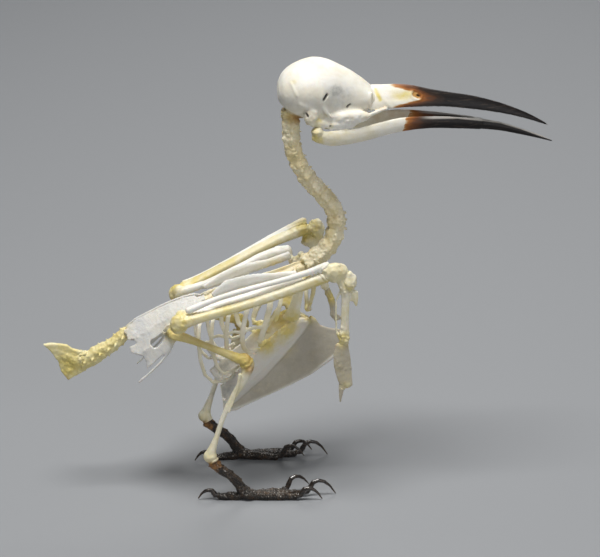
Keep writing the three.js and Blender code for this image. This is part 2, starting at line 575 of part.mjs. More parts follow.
function makeRibs(side) {
  const curves = ribPaths.map((path) => smoothCurve(onSide(side, path)));
  const pieces = ribPaths.map((path, index) => tube(onSide(side, path),
    [[ribHalfWidths[index], 0.45], [ribHalfWidths[index], ribThickness],
      [ribHalfWidths[index], ribThickness],
      [ribHalfWidths[index] * 0.8, ribThickness], [0.42, 0.35]],
    { around: smallSides, steps: path.length, up: [0, sideOf[side], 0.2] }));
  hookPlaces.forEach((share, index) => {
    if (share === null) return;
    const from = curves[index].getPoint(share);
    const behind = curves[index - 1].getPoint(share - 0.02);
    const middle = from.clone().lerp(behind, 0.5).add(new THREE.Vector3(0, sideOf[side] * 0.15, 0.5));
    pieces.push(tube([from.toArray(), middle.toArray(), behind.toArray()], [[0.3, 0.6], [0.28, 0.5],
      [0.25, 0.4]],
      { around: smallSides, steps: 2 }));
  });
  const lastMeets = curves[1].getPoint(0.93).toArray();
  const lastEnd = curves[0].getPoint(1).toArray();
  pieces.push(tube([lastEnd, lastMeets], [[0.4, 0.35], [0.4, 0.35]], { around: smallSides, steps: 1 }));
  return join(pieces);
}
for (const side of sides) {
  bone(`ribs_${side}`, makeRibs(side),
    ['back', 'sternum'], whiteBone);
}

// Wing bones, folded back and forward again along the body
const humerusPaths = {
  right: [shoulder.right, [-7.7, 8.6, 50.5], [-14.5, 8.9, 48.8], [-21.5, 9.2, 47.0], elbow.right],
  left: [shoulder.left, [-8.3, 9.0, 51.7], [-14.0, 8.7, 49.4], [-21.0, 8.9, 46.0], elbow.left],
};
const ulnaPaths = {
  right: [[-28.3, 11.4, 44.4], [-23.8, 11.6, 45.6], [-14.7, 11.8, 48.0], [-5.7, 12.1, 50.9],
    [3.9, 12.7, 54.5]],
  left: [[-27.4, 11.6, 43.3], [-22.2, 11.8, 45.7], [-12.8, 12.0, 50.5], [-5.0, 12.3, 54.4],
    [2.6, 12.8, 57.3]],
};
const radiusPaths = {
  right: [[-26.4, 11.3, 47.3], [-21.5, 11.5, 49.4], [-17.0, 11.7, 51.0], [-8.0, 12.0, 53.4],
    [-1.0, 12.4, 55.3], [4.4, 12.8, 57.4]],
  left: [[-26.0, 12.7, 44.9], [-21.8, 13.1, 46.7], [-12.6, 13.3, 51.6], [-4.8, 13.5, 55.9],
    [2.4, 13.4, 59.3]],
};
// The wrist bones with the head of the hand: [centre, half sizes, detail]
const wristMasses = {
  right: [[[6.5, 13.1, 55.9], [3.1, 1.5, 2.3], 1], [[9.7, 13.2, 53.7], [1.9, 1.3, 2.5], 0]],
  left: [[[5.3, 13.3, 57.0], [1.9, 1.5, 2.5], 1], [[3.5, 13.3, 54.3], [1.8, 1.2, 1.6], 0]],
};
const metacarpals = {
  right: { major: [[7.6, 13.1, 54.6], [8.8, 13.2, 51.0], [8.8, 13.3, 45.5], [8.7, 13.3, 39.6]],
    minor: [[8.2, 13.1, 51.8], [6.9, 13.1, 49.6], [6.8, 13.2, 45.6], [7.0, 13.3, 41.4],
      [8.2, 13.3, 39.7]] },
  left: { major: [[4.2, 13.3, 54.6], [5.2, 13.3, 50.6], [6.3, 13.2, 46.2], [7.3, 13.2, 42.6]],
    minor: [[4.4, 13.3, 51.9], [3.6, 13.2, 50.0], [4.3, 13.2, 47.0], [5.3, 13.2, 44.6],
      [6.9, 13.2, 42.8]] },
};
const fingerPaths = {
  right: [[8.1, 13.4, 38.5], [8.1, 13.5, 35.4], [8.6, 13.5, 31.4], [9.3, 13.5, 28.2]],
  left: [[8.0, 13.2, 41.4], [8.9, 13.2, 39.0], [9.3, 13.2, 36.6], [9.4, 13.2, 35.2]],
};
const fingerSizes = {
  right: [[1.6, 0.65], [2.3, 0.5], [2.1, 0.45], [1.5, 0.5]],
  left: [[0.8, 0.55], [0.8, 0.42], [0.75, 0.42], [0.95, 0.6]],
};
const fingertips = {
  right: [[8.2, 13.5, 29.2], [8.0, 13.5, 27.2], [7.8, 13.5, 24.6]],
  left: [[9.7, 13.2, 34.4], [10.8, 13.2, 34.6], [12.2, 13.2, 34.8]],
};
const thumbSizes = { right: [[1.3, 0.6], [0.9, 0.5], [0.25, 0.25]], left: [[0.85, 0.6], [0.6, 0.45],
  [0.3, 0.25]] };
const thumbs = {
  right: [[10.6, 13.4, 51.0], [11.0, 13.5, 49.6], [11.3, 13.6, 47.9]],
  left: [[6.75, 13.4, 54.4], [7.0, 13.4, 52.4], [7.3, 13.4, 50.4]],
};

for (const side of sides) {
  const thick = humerusRadius;
  bone(`humerus_${side}`, join(
    tube(onSide(side, humerusPaths[side]), [[1.0, 1.7], [thick, 2.0], [thick, 1.1], [thick, thick],
      [thick, thick],
      [thick, thick], [1.15, 1.25]], { steps: 8 }),
    ball(onSide(side, [elbow[side]])[0], [1.35, 1.2, 1.6]),
    spike(...onSide(side, [[shoulder[side][0] - 1.5, shoulder[side][1], shoulder[side][2] + 0.8],
      [shoulder[side][0] - 3.6, shoulder[side][1] + 0.6, shoulder[side][2] + 1.3]]), 0.8),
  ), [`coracoid_${side}`, `scapula_${side}`, 'furcula'], whiteBone);

  const forearm = ulnaRadius[side];
  bone(`ulna_${side}`, join(
    tube(onSide(side, ulnaPaths[side]), [[1.3, 1.5], [forearm, forearm], [forearm * 0.95, forearm * 0.95],
      [forearm, forearm], [1.15, 1.4]], { steps: 8 }),
    ball(onSide(side, [[ulnaPaths[side][0][0] - 0.3, 11.2, ulnaPaths[side][0][2] - 0.4]])[0],
      [1.9, 1.4, 2.3]),
  ), [`humerus_${side}`], yellowBone);
  bone(`radius_${side}`, tube(onSide(side, radiusPaths[side]), [[0.6, 0.65], [radiusRadius, radiusRadius],
    [radiusRadius, radiusRadius], [0.6, 0.7]], { around: thinSides, steps: 7 }),
  [`ulna_${side}`, `humerus_${side}`], yellowBone);

  const { major, minor } = metacarpals[side];
  bone(`hand_${side}`, join(
    wristMasses[side].map(([centre, radii, detail]) => ball(onSide(side, [centre])[0], radii, detail)),
    tube(onSide(side, major), [[1.3, 1.0], [1.05, 0.85], [0.95, 0.8],
      [1.1, 0.85]], { steps: 5, up: [0, 1, 0] }),
    tube(onSide(side, minor), [[0.5, 0.4], [0.3, 0.3], [0.28, 0.28], [0.3, 0.3], [0.5, 0.4]],
      { around: smallSides, steps: 7, up: [0, 1, 0] }),
  ), [`ulna_${side}`, `radius_${side}`], yellowBone);
  bone(`thumb_${side}`, tube(onSide(side, thumbs[side]), thumbSizes[side],
    { around: thinSides, steps: 4, up: [0, 1, 0] }), [`hand_${side}`], yellowBone);
  bone(`finger_${side}`, tube(onSide(side, fingerPaths[side]), fingerSizes[side],
    { around: thinSides, steps: 5, up: [0, 1, 0] }), [`hand_${side}`], whiteBone);
  bone(`fingertip_${side}`, tube(onSide(side, fingertips[side]), [[0.7, 0.4], [0.45, 0.3], [0.18, 0.15]],
    { around: thinSides, steps: 3, up: [0, 1, 0] }), [`finger_${side}`], whiteBone);
}

// Legs
for (const side of sides) {
  const [hipX, hipY, hipZ] = hip;
  const [kneeX, kneeY, kneeZ] = knee[side];
  const [ankleX, ankleY, ankleZ] = ankle[side];
  const femurPath = onSide(side, [[hipX, hipY + 2.0, hipZ + 0.2], [hipX + 2.8, hipY + 2.9, hipZ - 0.4],
    [mix(hipX, kneeX, 0.5), hipY + 4.1, mix(hipZ, kneeZ, 0.44)], [kneeX - 1.2, kneeY, kneeZ + 0.3]]);
  bone(`femur_${side}`, join(
    tube(femurPath, [[1.2, 1.3], [1.0, 1.1], [femurRadius, femurRadius], [1.25, 1.2]], { steps: 6 }),
    ball(onSide(side, [[hipX, hipY + 0.4, hipZ]])[0], hipSocketRadius - jointGap),
    ball(onSide(side, [knee[side]])[0], 1.5),
  ), [], yellowBone);

  const tibiaPath = onSide(side, [[kneeX + 0.6, kneeY + 0.3, kneeZ - 1.9],
    [kneeX - 0.4, kneeY + 0.3, kneeZ - 5.0],
    [mix(kneeX, ankleX, 0.5), mix(kneeY, ankleY, 0.5), mix(kneeZ, ankleZ, 0.48)],
    [mix(kneeX, ankleX, 0.82), ankleY, mix(kneeZ, ankleZ, 0.8)], [ankleX, ankleY, ankleZ + 0.4]]);
  bone(`tibia_${side}`, join(
    tube(tibiaPath, [[1.35, 1.4], [0.95, 1.0], [tibiaRadius, tibiaRadius], [0.65, 0.65], [1.2, 1.2]],
      { steps: 8, up: [1, 0, 0] }),
    ball(onSide(side, [[kneeX + 1.3, kneeY + 0.2, kneeZ - 1.1]])[0], [0.9, 1.0, 1.4], 0),
    tube(onSide(side, [[kneeX - 1.2, kneeY + 1.2, kneeZ - 3.0], [kneeX - 2.4, kneeY + 1.3, kneeZ - 8.5],
      [kneeX - 3.8, kneeY + 1.0, kneeZ - 12.5]]), [[0.5, 0.5], [0.3, 0.3], [0.25, 0.25]],
    { around: smallSides, steps: 3, up: [1, 0, 0] }),
    ball(onSide(side, [[ankleX, ankleY, ankleZ]])[0], [1.6, 1.35, 1.6]),
  ), [`femur_${side}`], yellowBone);
}

// Feet: a short scaly shank, three toes forward and one back, on flat pads
const toeHeight = 0.95;        // half of it, over the floor
const scuteStep = 2.4;         // from one scute to the next
const scuteRise = 0.2;         // its free edge over the one before
const padDrop = 0.25;          // how far the sole is lifted between two pads
const toeClose = 0.78;         // how far the last ring of a toe is drawn in
const toes = {
  inner: { turn: 13, reach: 9.2, width: 0.85, joints: 3, claw: 5.8, arch: 4.2, tip: 1.6 },
  middle: { turn: 1, reach: 13.6, width: 1.0, joints: 4, claw: 7.0, arch: 4.0, tip: 0.25 },
  outer: { turn: -8, reach: 11.9, width: 0.95, joints: 4, claw: 5.4, arch: 3.2, tip: 0.4 },
  hind: { turn: 176, reach: 6.8, width: 0.9, joints: 2, claw: 4.2, arch: 2.6, tip: 0.35 },
};

// A place along a toe: its direction is turned inward from straight ahead
function toeFrame(side, toe) {
  const turn = THREE.MathUtils.degToRad(toe.turn);
  const ahead = new THREE.Vector3(Math.cos(turn), -sideOf[side] * Math.sin(turn), 0);
  const [rootX, rootY] = onSide(side, [footRoot[side]])[0];
  return (distance, out, height) => new THREE.Vector3(
    rootX + ahead.x * distance - ahead.y * out, rootY + ahead.y * distance + ahead.x * out, height);
}

// One toe: scutes overlap along its back, pads swell under its joints and rest on the floor
function makeToe(side, toe) {
  const at = toeFrame(side, toe);
  const scutes = Math.round(toe.reach / scuteStep);
  const rings = [];
  for (let index = 0; index < 2 * scutes; index += 1) {
    const share = (Math.floor(index / 2) + (index % 2) * 0.86) / scutes;
    const distance = share * toe.reach;
    const taper = mix(1.05, 0.8, share);
    const closing = index === 2 * scutes - 1 ? toeClose : 1;
    const raised = closing * (toeHeight * taper + (index % 2) * scuteRise);
    const pad = Math.cos(2 * Math.PI * toe.joints * (share - 0.55 / toe.joints));
    const width = closing * toe.width * taper * (1 + 0.1 * pad);
    const sole = Math.max(0, -padDrop * pad);
    const middle = toeHeight * taper;
    rings.push([[-1, 0.1], [-0.62, -1], [0.62, -1], [1, 0.1], [0.66, 0.78], [0, 1],
      [-0.66, 0.78]].map(([out, up]) => at(
      distance, out * width, up < 0 ? sole : middle + up * raised)));
  }
  const endCentre = (share) => at(share * toe.reach, 0, toeHeight * mix(1.05, 0.8, share));
  return skin(rings, endCentre(0), endCentre((scutes - 0.14) / scutes));
}

// The shank, with scutes that overlap down its front
function makeShank(side) {
  const [ankleX, ankleY, ankleZ] = ankle[side];
  const [rootX, rootY, rootZ] = footRoot[side];
  const curve = smoothCurve(onSide(side, [[ankleX + 0.4, ankleY, ankleZ - 1.5],
    [ankleX + 2.6, ankleY, ankleZ - 3.6],
    [mix(ankleX, rootX, 0.62), rootY, mix(ankleZ, rootZ, 0.62)], [rootX - 0.3, rootY, rootZ - 0.9]]));
  const scutes = 5;
  const rings = [];
  for (let index = 0; index < 2 * scutes; index += 1) {
    const share = (Math.floor(index / 2) + (index % 2) * 0.86) / scutes;
    const tangent = curve.getTangent(share);
    const front = new THREE.Vector3(-tangent.z, 0, tangent.x).normalize();
    const size = tarsusRadius * (1 + 0.22 * (2 * share - 1) ** 4);
    rings.push(Array.from({ length: boneSides }, (_, k) => {
      const turn = (2 * Math.PI * k) / boneSides;
      const ahead = Math.cos(turn);
      const raise = ahead > 0.5 ? (index % 2) * scuteRise : 0;
      return curve.getPoint(share)
        .addScaledVector(front, (size + raise) * ahead)
        .add(new THREE.Vector3(0, size * Math.sin(turn), 0));
    }));
  }
  return skin(rings, curve.getPoint(0), curve.getPoint((scutes - 0.14) / scutes));
}

function makeFoot(side) {
  const [rootX, rootY, rootZ] = footRoot[side];
  const sole = onSide(side, [[rootX + 0.4, rootY, toeHeight + 0.35]])[0];
  const betweenToes = toeFrame(side, toes.outer);
  const web = [betweenToes(1.0, sideOf[side] * -0.4, toeHeight), betweenToes(7.0, sideOf[side] * -0.6,
    toeHeight)];
  return join(
    makeShank(side),
    Object.values(toes).map((toe) => makeToe(side, toe)),
    ball(sole, [2.0, 1.6, toeHeight + 0.3]),
    tube(web.map((point) => point.toArray()), [[1.3, 0.8], [0.8, 0.7]], { around: thinSides, steps: 1 }),
    ball(onSide(side, [[rootX - 0.4, rootY, rootZ]])[0], [1.4, 1.3, 1.3], 0),
  );
}

function makeClaw(side, toe) {
  const at = toeFrame(side, toe);
  const scutes = Math.round(toe.reach / scuteStep);
  const start = (toe.reach * (scutes - 0.14)) / scutes + jointGap + clawLean;
  const profile = [[0, 1.1], [0.09, 1.3], [0.22, mix(1.3, toe.arch, 0.72)], [0.46, toe.arch - 0.2],
    [0.72, mix(toe.tip, toe.arch, 0.72)], [1, toe.tip]];
  const path = profile.map(([share, height]) => at(start + share * toe.claw, 0, height).toArray());
  return tube(path, [[clawRadius, 0.7], [clawRadius, 0.75], [0.5, 0.58], [0.36, 0.42], [0.14, 0.16]],
    { around: thinSides, steps: 7, round: 0.8, flat: 'start' });
}

for (const side of sides) {
  bone(`foot_${side}`, makeFoot(side), [`tibia_${side}`], driedSkin);
  for (const [name, toe] of Object.entries(toes)) {
    bone(`claw_${side}_${name}`, makeClaw(side, toe), [], blackClaw);
  }
}

// The origin is on the floor under the middle of the whole skeleton
const bounds = new THREE.Box3().setFromObject(group);
group.position.set(-(bounds.min.x + bounds.max.x) / 2, -(bounds.min.y + bounds.max.y) / 2, -bounds.min.z);
group.updateMatrixWorld(true);

export default group;
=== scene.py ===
import math

import bpy
import numpy as np
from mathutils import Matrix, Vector
from mathutils.bvhtree import BVHTree


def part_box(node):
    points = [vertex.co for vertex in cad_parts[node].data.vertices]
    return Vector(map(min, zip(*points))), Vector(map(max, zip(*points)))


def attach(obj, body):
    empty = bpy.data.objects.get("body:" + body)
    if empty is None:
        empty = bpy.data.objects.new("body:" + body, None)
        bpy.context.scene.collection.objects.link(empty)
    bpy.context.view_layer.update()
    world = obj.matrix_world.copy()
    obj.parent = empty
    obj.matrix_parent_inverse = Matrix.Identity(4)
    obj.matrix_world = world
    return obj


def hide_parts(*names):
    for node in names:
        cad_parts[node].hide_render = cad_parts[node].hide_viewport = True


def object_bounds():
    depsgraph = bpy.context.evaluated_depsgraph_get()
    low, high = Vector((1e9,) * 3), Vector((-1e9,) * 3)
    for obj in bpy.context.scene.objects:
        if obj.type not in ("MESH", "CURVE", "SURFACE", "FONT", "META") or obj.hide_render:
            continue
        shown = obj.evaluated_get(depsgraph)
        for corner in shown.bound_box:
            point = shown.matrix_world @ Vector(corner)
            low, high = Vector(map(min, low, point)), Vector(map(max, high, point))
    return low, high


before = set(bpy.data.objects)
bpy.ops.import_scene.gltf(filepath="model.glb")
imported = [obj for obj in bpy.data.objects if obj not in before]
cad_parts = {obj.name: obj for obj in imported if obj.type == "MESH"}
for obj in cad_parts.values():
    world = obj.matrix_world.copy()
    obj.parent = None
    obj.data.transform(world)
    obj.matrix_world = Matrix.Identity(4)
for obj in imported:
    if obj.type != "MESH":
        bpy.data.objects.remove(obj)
cad_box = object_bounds()

# Every length below is in millimetres, [forward, to the bird's left, up], before SHIFT
MM = 0.001
SKULL_BACK = -5.2
skull_low, skull_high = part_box("skull")
SHIFT = np.array([skull_low.x / MM - SKULL_BACK, (skull_low.y + skull_high.y) / 2 / MM, 0.0])


# Noise and fields
AXIS_FACTORS = (73856093, 19349663, 83492791)
SEED_FACTOR = 2654435761
MIX_FACTOR = 1274126177
LOW_BITS = 0xFFFF
OCTAVE_OFFSET = 17.3


def lattice(cell, seed):
    """A fixed value from -1 to 1 for each cell."""
    mixed = seed * SEED_FACTOR
    for axis, factor in enumerate(AXIS_FACTORS):
        mixed = mixed ^ (cell[..., axis].astype(np.int64) * factor)
    mixed = (mixed ^ (mixed >> 13)) * MIX_FACTOR
    mixed = mixed ^ (mixed >> 16)
    return (mixed & LOW_BITS) / (LOW_BITS / 2) - 1.0


def noise(points, size, seed, octaves):
    """Smooth noise from -1 to 1; size is the width of its largest waves."""
    total = np.zeros(len(points))
    strength, sum_of = 1.0, 0.0
    for octave in range(octaves):
        place = points / size * 2.0 ** octave + OCTAVE_OFFSET * octave
        cell = np.floor(place)
        share = place - cell
        share = share * share * (3 - 2 * share)
        value = np.zeros(len(points))
        for corner in range(8):
            step = np.array([corner & 1, (corner >> 1) & 1, (corner >> 2) & 1])
            weight = np.prod(np.where(step, share, 1 - share), axis=1)
            value += weight * lattice(cell + step, seed + octave)
        total += strength * value
        sum_of += strength
        strength *= 0.5
    return total / sum_of


def smooth_step(low, high, value):
    share = np.clip((value - low) / (high - low), 0, 1)
    return share * share * (3 - 2 * share)


def spot(points, centre, radius):
    away = np.linalg.norm((points - np.array(centre)) / np.array(radius), axis=1)
    return np.exp(-away * away)


def strongest(points, entries):
    """The largest of several spots at each point; an entry is (centre, radius, strength)."""
    result = np.zeros(len(points))
    for centre, radius, strength in entries:
        result = np.maximum(result, strength * spot(points, centre, radius))
    return result


def both_sides(entries):
    return [((x, side * y, z), radius, strength)
            for (x, y, z), radius, strength in entries for side in (-1, 1)]


def folded(points):
    """The points with the right side laid over the left."""
    return np.column_stack([points[:, 0], np.abs(points[:, 1]), points[:, 2]])


def beside(points, start, end):
    """How far each point lies from a line drawn on the side view, [forward, up]."""
    flat = points[:, [0, 2]]
    start, end = np.array(start, float), np.array(end, float)
    axis = end - start
    share = np.clip((flat - start) @ axis / (axis @ axis), 0, 1)
    return np.linalg.norm(flat - start - share[:, None] * axis, axis=1)


def off_line(points, line):
    return np.minimum.reduce([beside(points, start, end) for start, end in zip(line, line[1:])])


def band(distance, width):
    return np.exp(-(distance / width) ** 2)


# Shapes. A tube has TUBE_STEPS rings from station to station, and its ends bulge by TUBE_CAP of its radius.
TUBE_AROUND, TUBE_STEPS = 20, 8
TUBE_CAP = 0.7
CAP_DEGREES = (25, 50, 75)
BALL_AROUND, BALL_ROWS = 28, 14


def curve_points(path, count):
    """Points along a smooth curve through the path, which doesn't overshoot at uneven stations."""
    path = np.array(path, float)
    padded = np.vstack([2 * path[0] - path[1], path, 2 * path[-1] - path[-2]])
    places = np.linspace(0, len(path) - 1, count)
    result = []
    for place in places:
        step = min(int(place), len(path) - 2)
        share = place - step
        a, b, c, d = padded[step:step + 4]
        d0, d1, d2 = (math.sqrt(np.linalg.norm(q - p)) for p, q in ((a, b), (b, c), (c, d)))
        start = ((b - a) / d0 - (c - a) / (d0 + d1) + (c - b) / d1) * d1
        end = ((c - b) / d1 - (d - b) / (d1 + d2) + (d - c) / d2) * d1
        result.append(b + start * share + (3 * (c - b) - 2 * start - end) * share ** 2
                      + (2 * (b - c) + start + end) * share ** 3)
    return np.array(result)


def mix_along(values, count):
    values = np.array(values, float)
    places = np.linspace(0, len(values) - 1, count)
    return np.stack([np.interp(places, np.arange(len(values)), column) for column in values.T], 1)


def closed_skin(rings, first_tip, last_tip):
    """The points and faces of a closed form through rings of points, with a tip at either end."""
    around, count = rings.shape[1], len(rings)
    points = np.vstack([rings.reshape(-1, 3), first_tip, last_tip])
    faces = []
    for row in range(count - 1):
        here, above = row * around, (row + 1) * around
        for k in range(around):
            nxt = (k + 1) % around
            faces.append((here + k, here + nxt, above + nxt, above + k))
    for k in range(around):
        nxt = (k + 1) % around
        faces.append((count * around, nxt, k))
        faces.append((count * around + 1, (count - 1) * around + k, (count - 1) * around + nxt))
    return points, faces


def tube(path, sizes, up=(0, 0, 1)):
    """A round-ended rod along the path; sizes are its half width and half height at each station."""
    steps = TUBE_STEPS * (len(path) - 1)
    centres = curve_points(path, steps + 1)
    tangents = np.gradient(centres, axis=0)
    tangents /= np.linalg.norm(tangents, axis=1, keepdims=True)
    across = np.cross(tangents, np.array(up, float))
    across /= np.linalg.norm(across, axis=1, keepdims=True)
    raised = np.cross(across, tangents)
    widths = mix_along(sizes, steps + 1)
    turns = 2 * np.pi * np.arange(TUBE_AROUND) / TUBE_AROUND
    rings = []
    start_cap = [(0, -1, degrees) for degrees in reversed(CAP_DEGREES)]
    end_cap = [(steps, 1, degrees) for degrees in CAP_DEGREES]
    for index, side, degrees in start_cap + [(k, 0, 0) for k in range(steps + 1)] + end_cap:
        turn = math.radians(degrees)
        wide, high = widths[index] * math.cos(turn)
        centre = centres[index] + tangents[index] * side * TUBE_CAP * min(widths[index]) * math.sin(turn)
        rings.append(centre + across[index] * wide * np.cos(turns)[:, None]
                     + raised[index] * high * np.sin(turns)[:, None])
    first = centres[0] - tangents[0] * TUBE_CAP * min(widths[0])
    last = centres[-1] + tangents[-1] * TUBE_CAP * min(widths[-1])
    return closed_skin(np.array(rings), first, last)


def ball(centre, radii):
    turns = 2 * np.pi * np.arange(BALL_AROUND) / BALL_AROUND
    rings = []
    for row in range(1, BALL_ROWS):
        tilt = math.pi * row / BALL_ROWS
        rings.append(np.stack([np.full(BALL_AROUND, math.cos(tilt)), math.sin(tilt) * np.cos(turns),
                               math.sin(tilt) * np.sin(turns)], 1))
    points, faces = closed_skin(np.array(rings), np.array([1.0, 0, 0]), np.array([-1.0, 0, 0]))
    return points * np.array(radii, float) + np.array(centre, float), faces


def mirrored(shape):
    points, faces = shape
    return points * np.array([1, -1, 1]), [tuple(reversed(face)) for face in faces]


def mesh_from(name, shapes):
    points, faces, base = [], [], 0
    for shape_points, shape_faces in shapes:
        points.append(shape_points)
        faces += [tuple(index + base for index in face) for face in shape_faces]
        base += len(shape_points)
    mesh = bpy.data.meshes.new(name)
    mesh.from_pydata((np.vstack(points) + SHIFT) * MM, [], faces)
    mesh.update()
    return mesh


# Surfaces. A point keeps KEPT_SHARE of its own place in each round; lumps vary within the ranges given.
KEPT_SHARE = 0.4
LUMP_SIZES, LUMP_HEIGHTS = (0.6, 1.3), (0.5, 1.2)
LUMP_REACH = 2.2


def positions(mesh):
    flat = np.empty(3 * len(mesh.vertices), np.float32)
    mesh.vertices.foreach_get("co", flat)
    return flat.reshape(-1, 3).astype(float) / MM - SHIFT


def set_positions(mesh, points):
    mesh.vertices.foreach_set("co", ((points + SHIFT) * MM).astype(np.float32).ravel())
    mesh.update()


def normals_of(mesh):
    flat = np.empty(3 * len(mesh.vertices), np.float32)
    mesh.vertex_normals.foreach_get("vector", flat)
    return flat.reshape(-1, 3).astype(float)


def volume_and_area(mesh):
    mesh.calc_loop_triangles()
    index = np.empty(3 * len(mesh.loop_triangles), np.int32)
    mesh.loop_triangles.foreach_get("vertices", index)
    corner = positions(mesh)[index.reshape(-1, 3)]
    cross = np.cross(corner[:, 1] - corner[:, 0], corner[:, 2] - corner[:, 0])
    return np.einsum("ij,ij->", corner[:, 0], cross) / 6, np.linalg.norm(cross, axis=1).sum() / 2


def remeshed(name, mesh, voxel):
    source = bpy.data.objects.new(name + "_source", mesh)
    bpy.context.scene.collection.objects.link(source)
    remesh = source.modifiers.new("even", "REMESH")
    remesh.mode = "VOXEL"
    remesh.voxel_size = voxel * MM
    graph = bpy.context.evaluated_depsgraph_get()
    result = bpy.data.meshes.new_from_object(source.evaluated_get(graph))
    result.name = name
    bpy.data.objects.remove(source)
    return result


def relax(mesh, rounds):
    """Moves each point towards the middle of its neighbours, and then gives the form its volume back."""
    volume, _ = volume_and_area(mesh)
    points = positions(mesh)
    pairs = np.empty(2 * len(mesh.edges), np.int32)
    mesh.edges.foreach_get("vertices", pairs)
    first, second = pairs.reshape(-1, 2).T
    count = len(points)
    degree = np.bincount(first, minlength=count) + np.bincount(second, minlength=count)
    for _ in range(rounds):
        total = np.stack([np.bincount(first, points[second, axis], count)
                          + np.bincount(second, points[first, axis], count) for axis in range(3)], 1)
        points = KEPT_SHARE * points + (1 - KEPT_SHARE) * total / degree[:, None]
    set_positions(mesh, points)
    for _ in range(2):
        now, area = volume_and_area(mesh)
        set_positions(mesh, positions(mesh) + normals_of(mesh) * (volume - now) / area)


def push(mesh, heights):
    set_positions(mesh, positions(mesh) + normals_of(mesh) * heights[:, None])


def lumps(points, count, radius, height, seed, mask=None):
    """Heights of rounded lumps at random points, more of them where the mask is strong."""
    chooser = np.random.default_rng(seed)
    weight = np.ones(len(points)) if mask is None else np.clip(mask, 0, 1) + 1e-6
    centres = points[chooser.choice(len(points), count, p=weight / weight.sum())]
    raised = np.zeros(len(points))
    for centre in centres:
        size = radius * chooser.uniform(*LUMP_SIZES)
        near = np.abs(points - centre).max(1) < LUMP_REACH * size
        bump = height * chooser.uniform(*LUMP_HEIGHTS) * spot(points[near], centre, size)
        raised[near] = np.maximum(raised[near], bump)
    return raised


def paint(mesh, name, values):
    layer = mesh.attributes.get(name) or mesh.attributes.new(name, "FLOAT", "POINT")
    layer.data.foreach_set("value", np.clip(values, 0, 1).astype(np.float32))


# Where dried tissue has stayed, where it turns brown, and where the bone is thin and grey. Each entry gives
# a centre, a radius and a strength.
TISSUE = both_sides([
    ((-27.9, 11.0, 44.6), 3.0, 1.0), ((6.6, 13.0, 55.8), 3.4, 0.6), ((-13.4, 10.9, 34.4), 3.2, 1.0),
    ((-22.0, 11.2, 11.2), 2.0, 0.6), ((8.4, 13.3, 40.0), 2.4, 0.9), ((9.0, 13.4, 28.6), 1.8, 0.5),
    ((0.2, 7.0, 52.6), 2.6, 0.5), ((2.4, 5.4, 52.4), 2.6, 0.6), ((-29.7, 6.2, 39.9), 2.6, 0.9),
    ((-4.6, 4.6, 39.6), 4.0, 1.0), ((-8.5, 5.6, 36.4), 3.4, 0.9), ((-2.4, 4.4, 42.2), 3.0, 0.9),
    ((-6.2, 6.8, 42.6), 2.6, 0.8), ((9.8, 13.4, 52.8), 2.0, 0.8),
]) + [
    ((0.6, 0, 53.6), 3.0, 0.35), ((-2.2, 0, 89.6), 3.0, 0.9), ((-41.0, 0, 37.4), 3.0, 0.7),
    ((-53.6, 0, 30.4), 4.2, 1.0), ((-47.0, 0, 33.4), 3.4, 0.6),
    ((-13.4, 10.6, 36.6), 2.6, 1.0), ((-5.0, 5.5, 49.5), 3.4, 0.8), ((2.0, 0, 41.4), 2.8, 0.9),
    ((3.0, 13.4, 56.6), 4.2, 1.0), ((-4.0, 0, 33.0), 3.0, 0.5),
]
BROWN = both_sides([
    ((-12.4, 10.9, 32.6), 1.8, 0.9), ((-13.2, 10.9, 35.0), 2.2, 0.5), ((-21.4, 11.2, 9.2), 1.9, 1.0),
    ((0.9, 6.8, 90.6), 2.2, 0.32), ((17.2, 3.4, 91.9), (2.8, 2.4, 1.6), 0.5), ((7.6, 13.6, 57.2), 1.4, 0.35),
    ((-5.6, 5.6, 40.2), 2.0, 0.4),
]) + [((-1.4, 0, 89.0), (3.0, 3.0, 2.2), 0.85), ((-53.8, 0, 27.8), 1.3, 0.45), ((-41.2, 0, 37.6), 2.4, 0.3),
      ((2.0, 0, 73.6), 2.4, 0.5), ((8.0, 0, 65.0), 2.4, 0.45), ((-1.6, 0, 80.6), 2.0, 0.4)]
COLD = both_sides([
    ((9.0, 6.0, 94.0), (5.0, 4.0, 4.2), 0.4), ((7.6, 6.4, 95.9), (2.2, 2.4, 1.6), 0.85),
    ((-31.0, 4.6, 42.4), (5.0, 4.0, 3.6), 0.25), ((-37.0, 4.8, 35.8), 4.0, 0.4),
    ((-17.4, 6.2, 25.6), 3.4, 0.6), ((-12.0, 3.0, 24.0), 7.0, 0.3),
])


# Materials
def colour(red, green, blue):
    return (red, green, blue, 1.0)


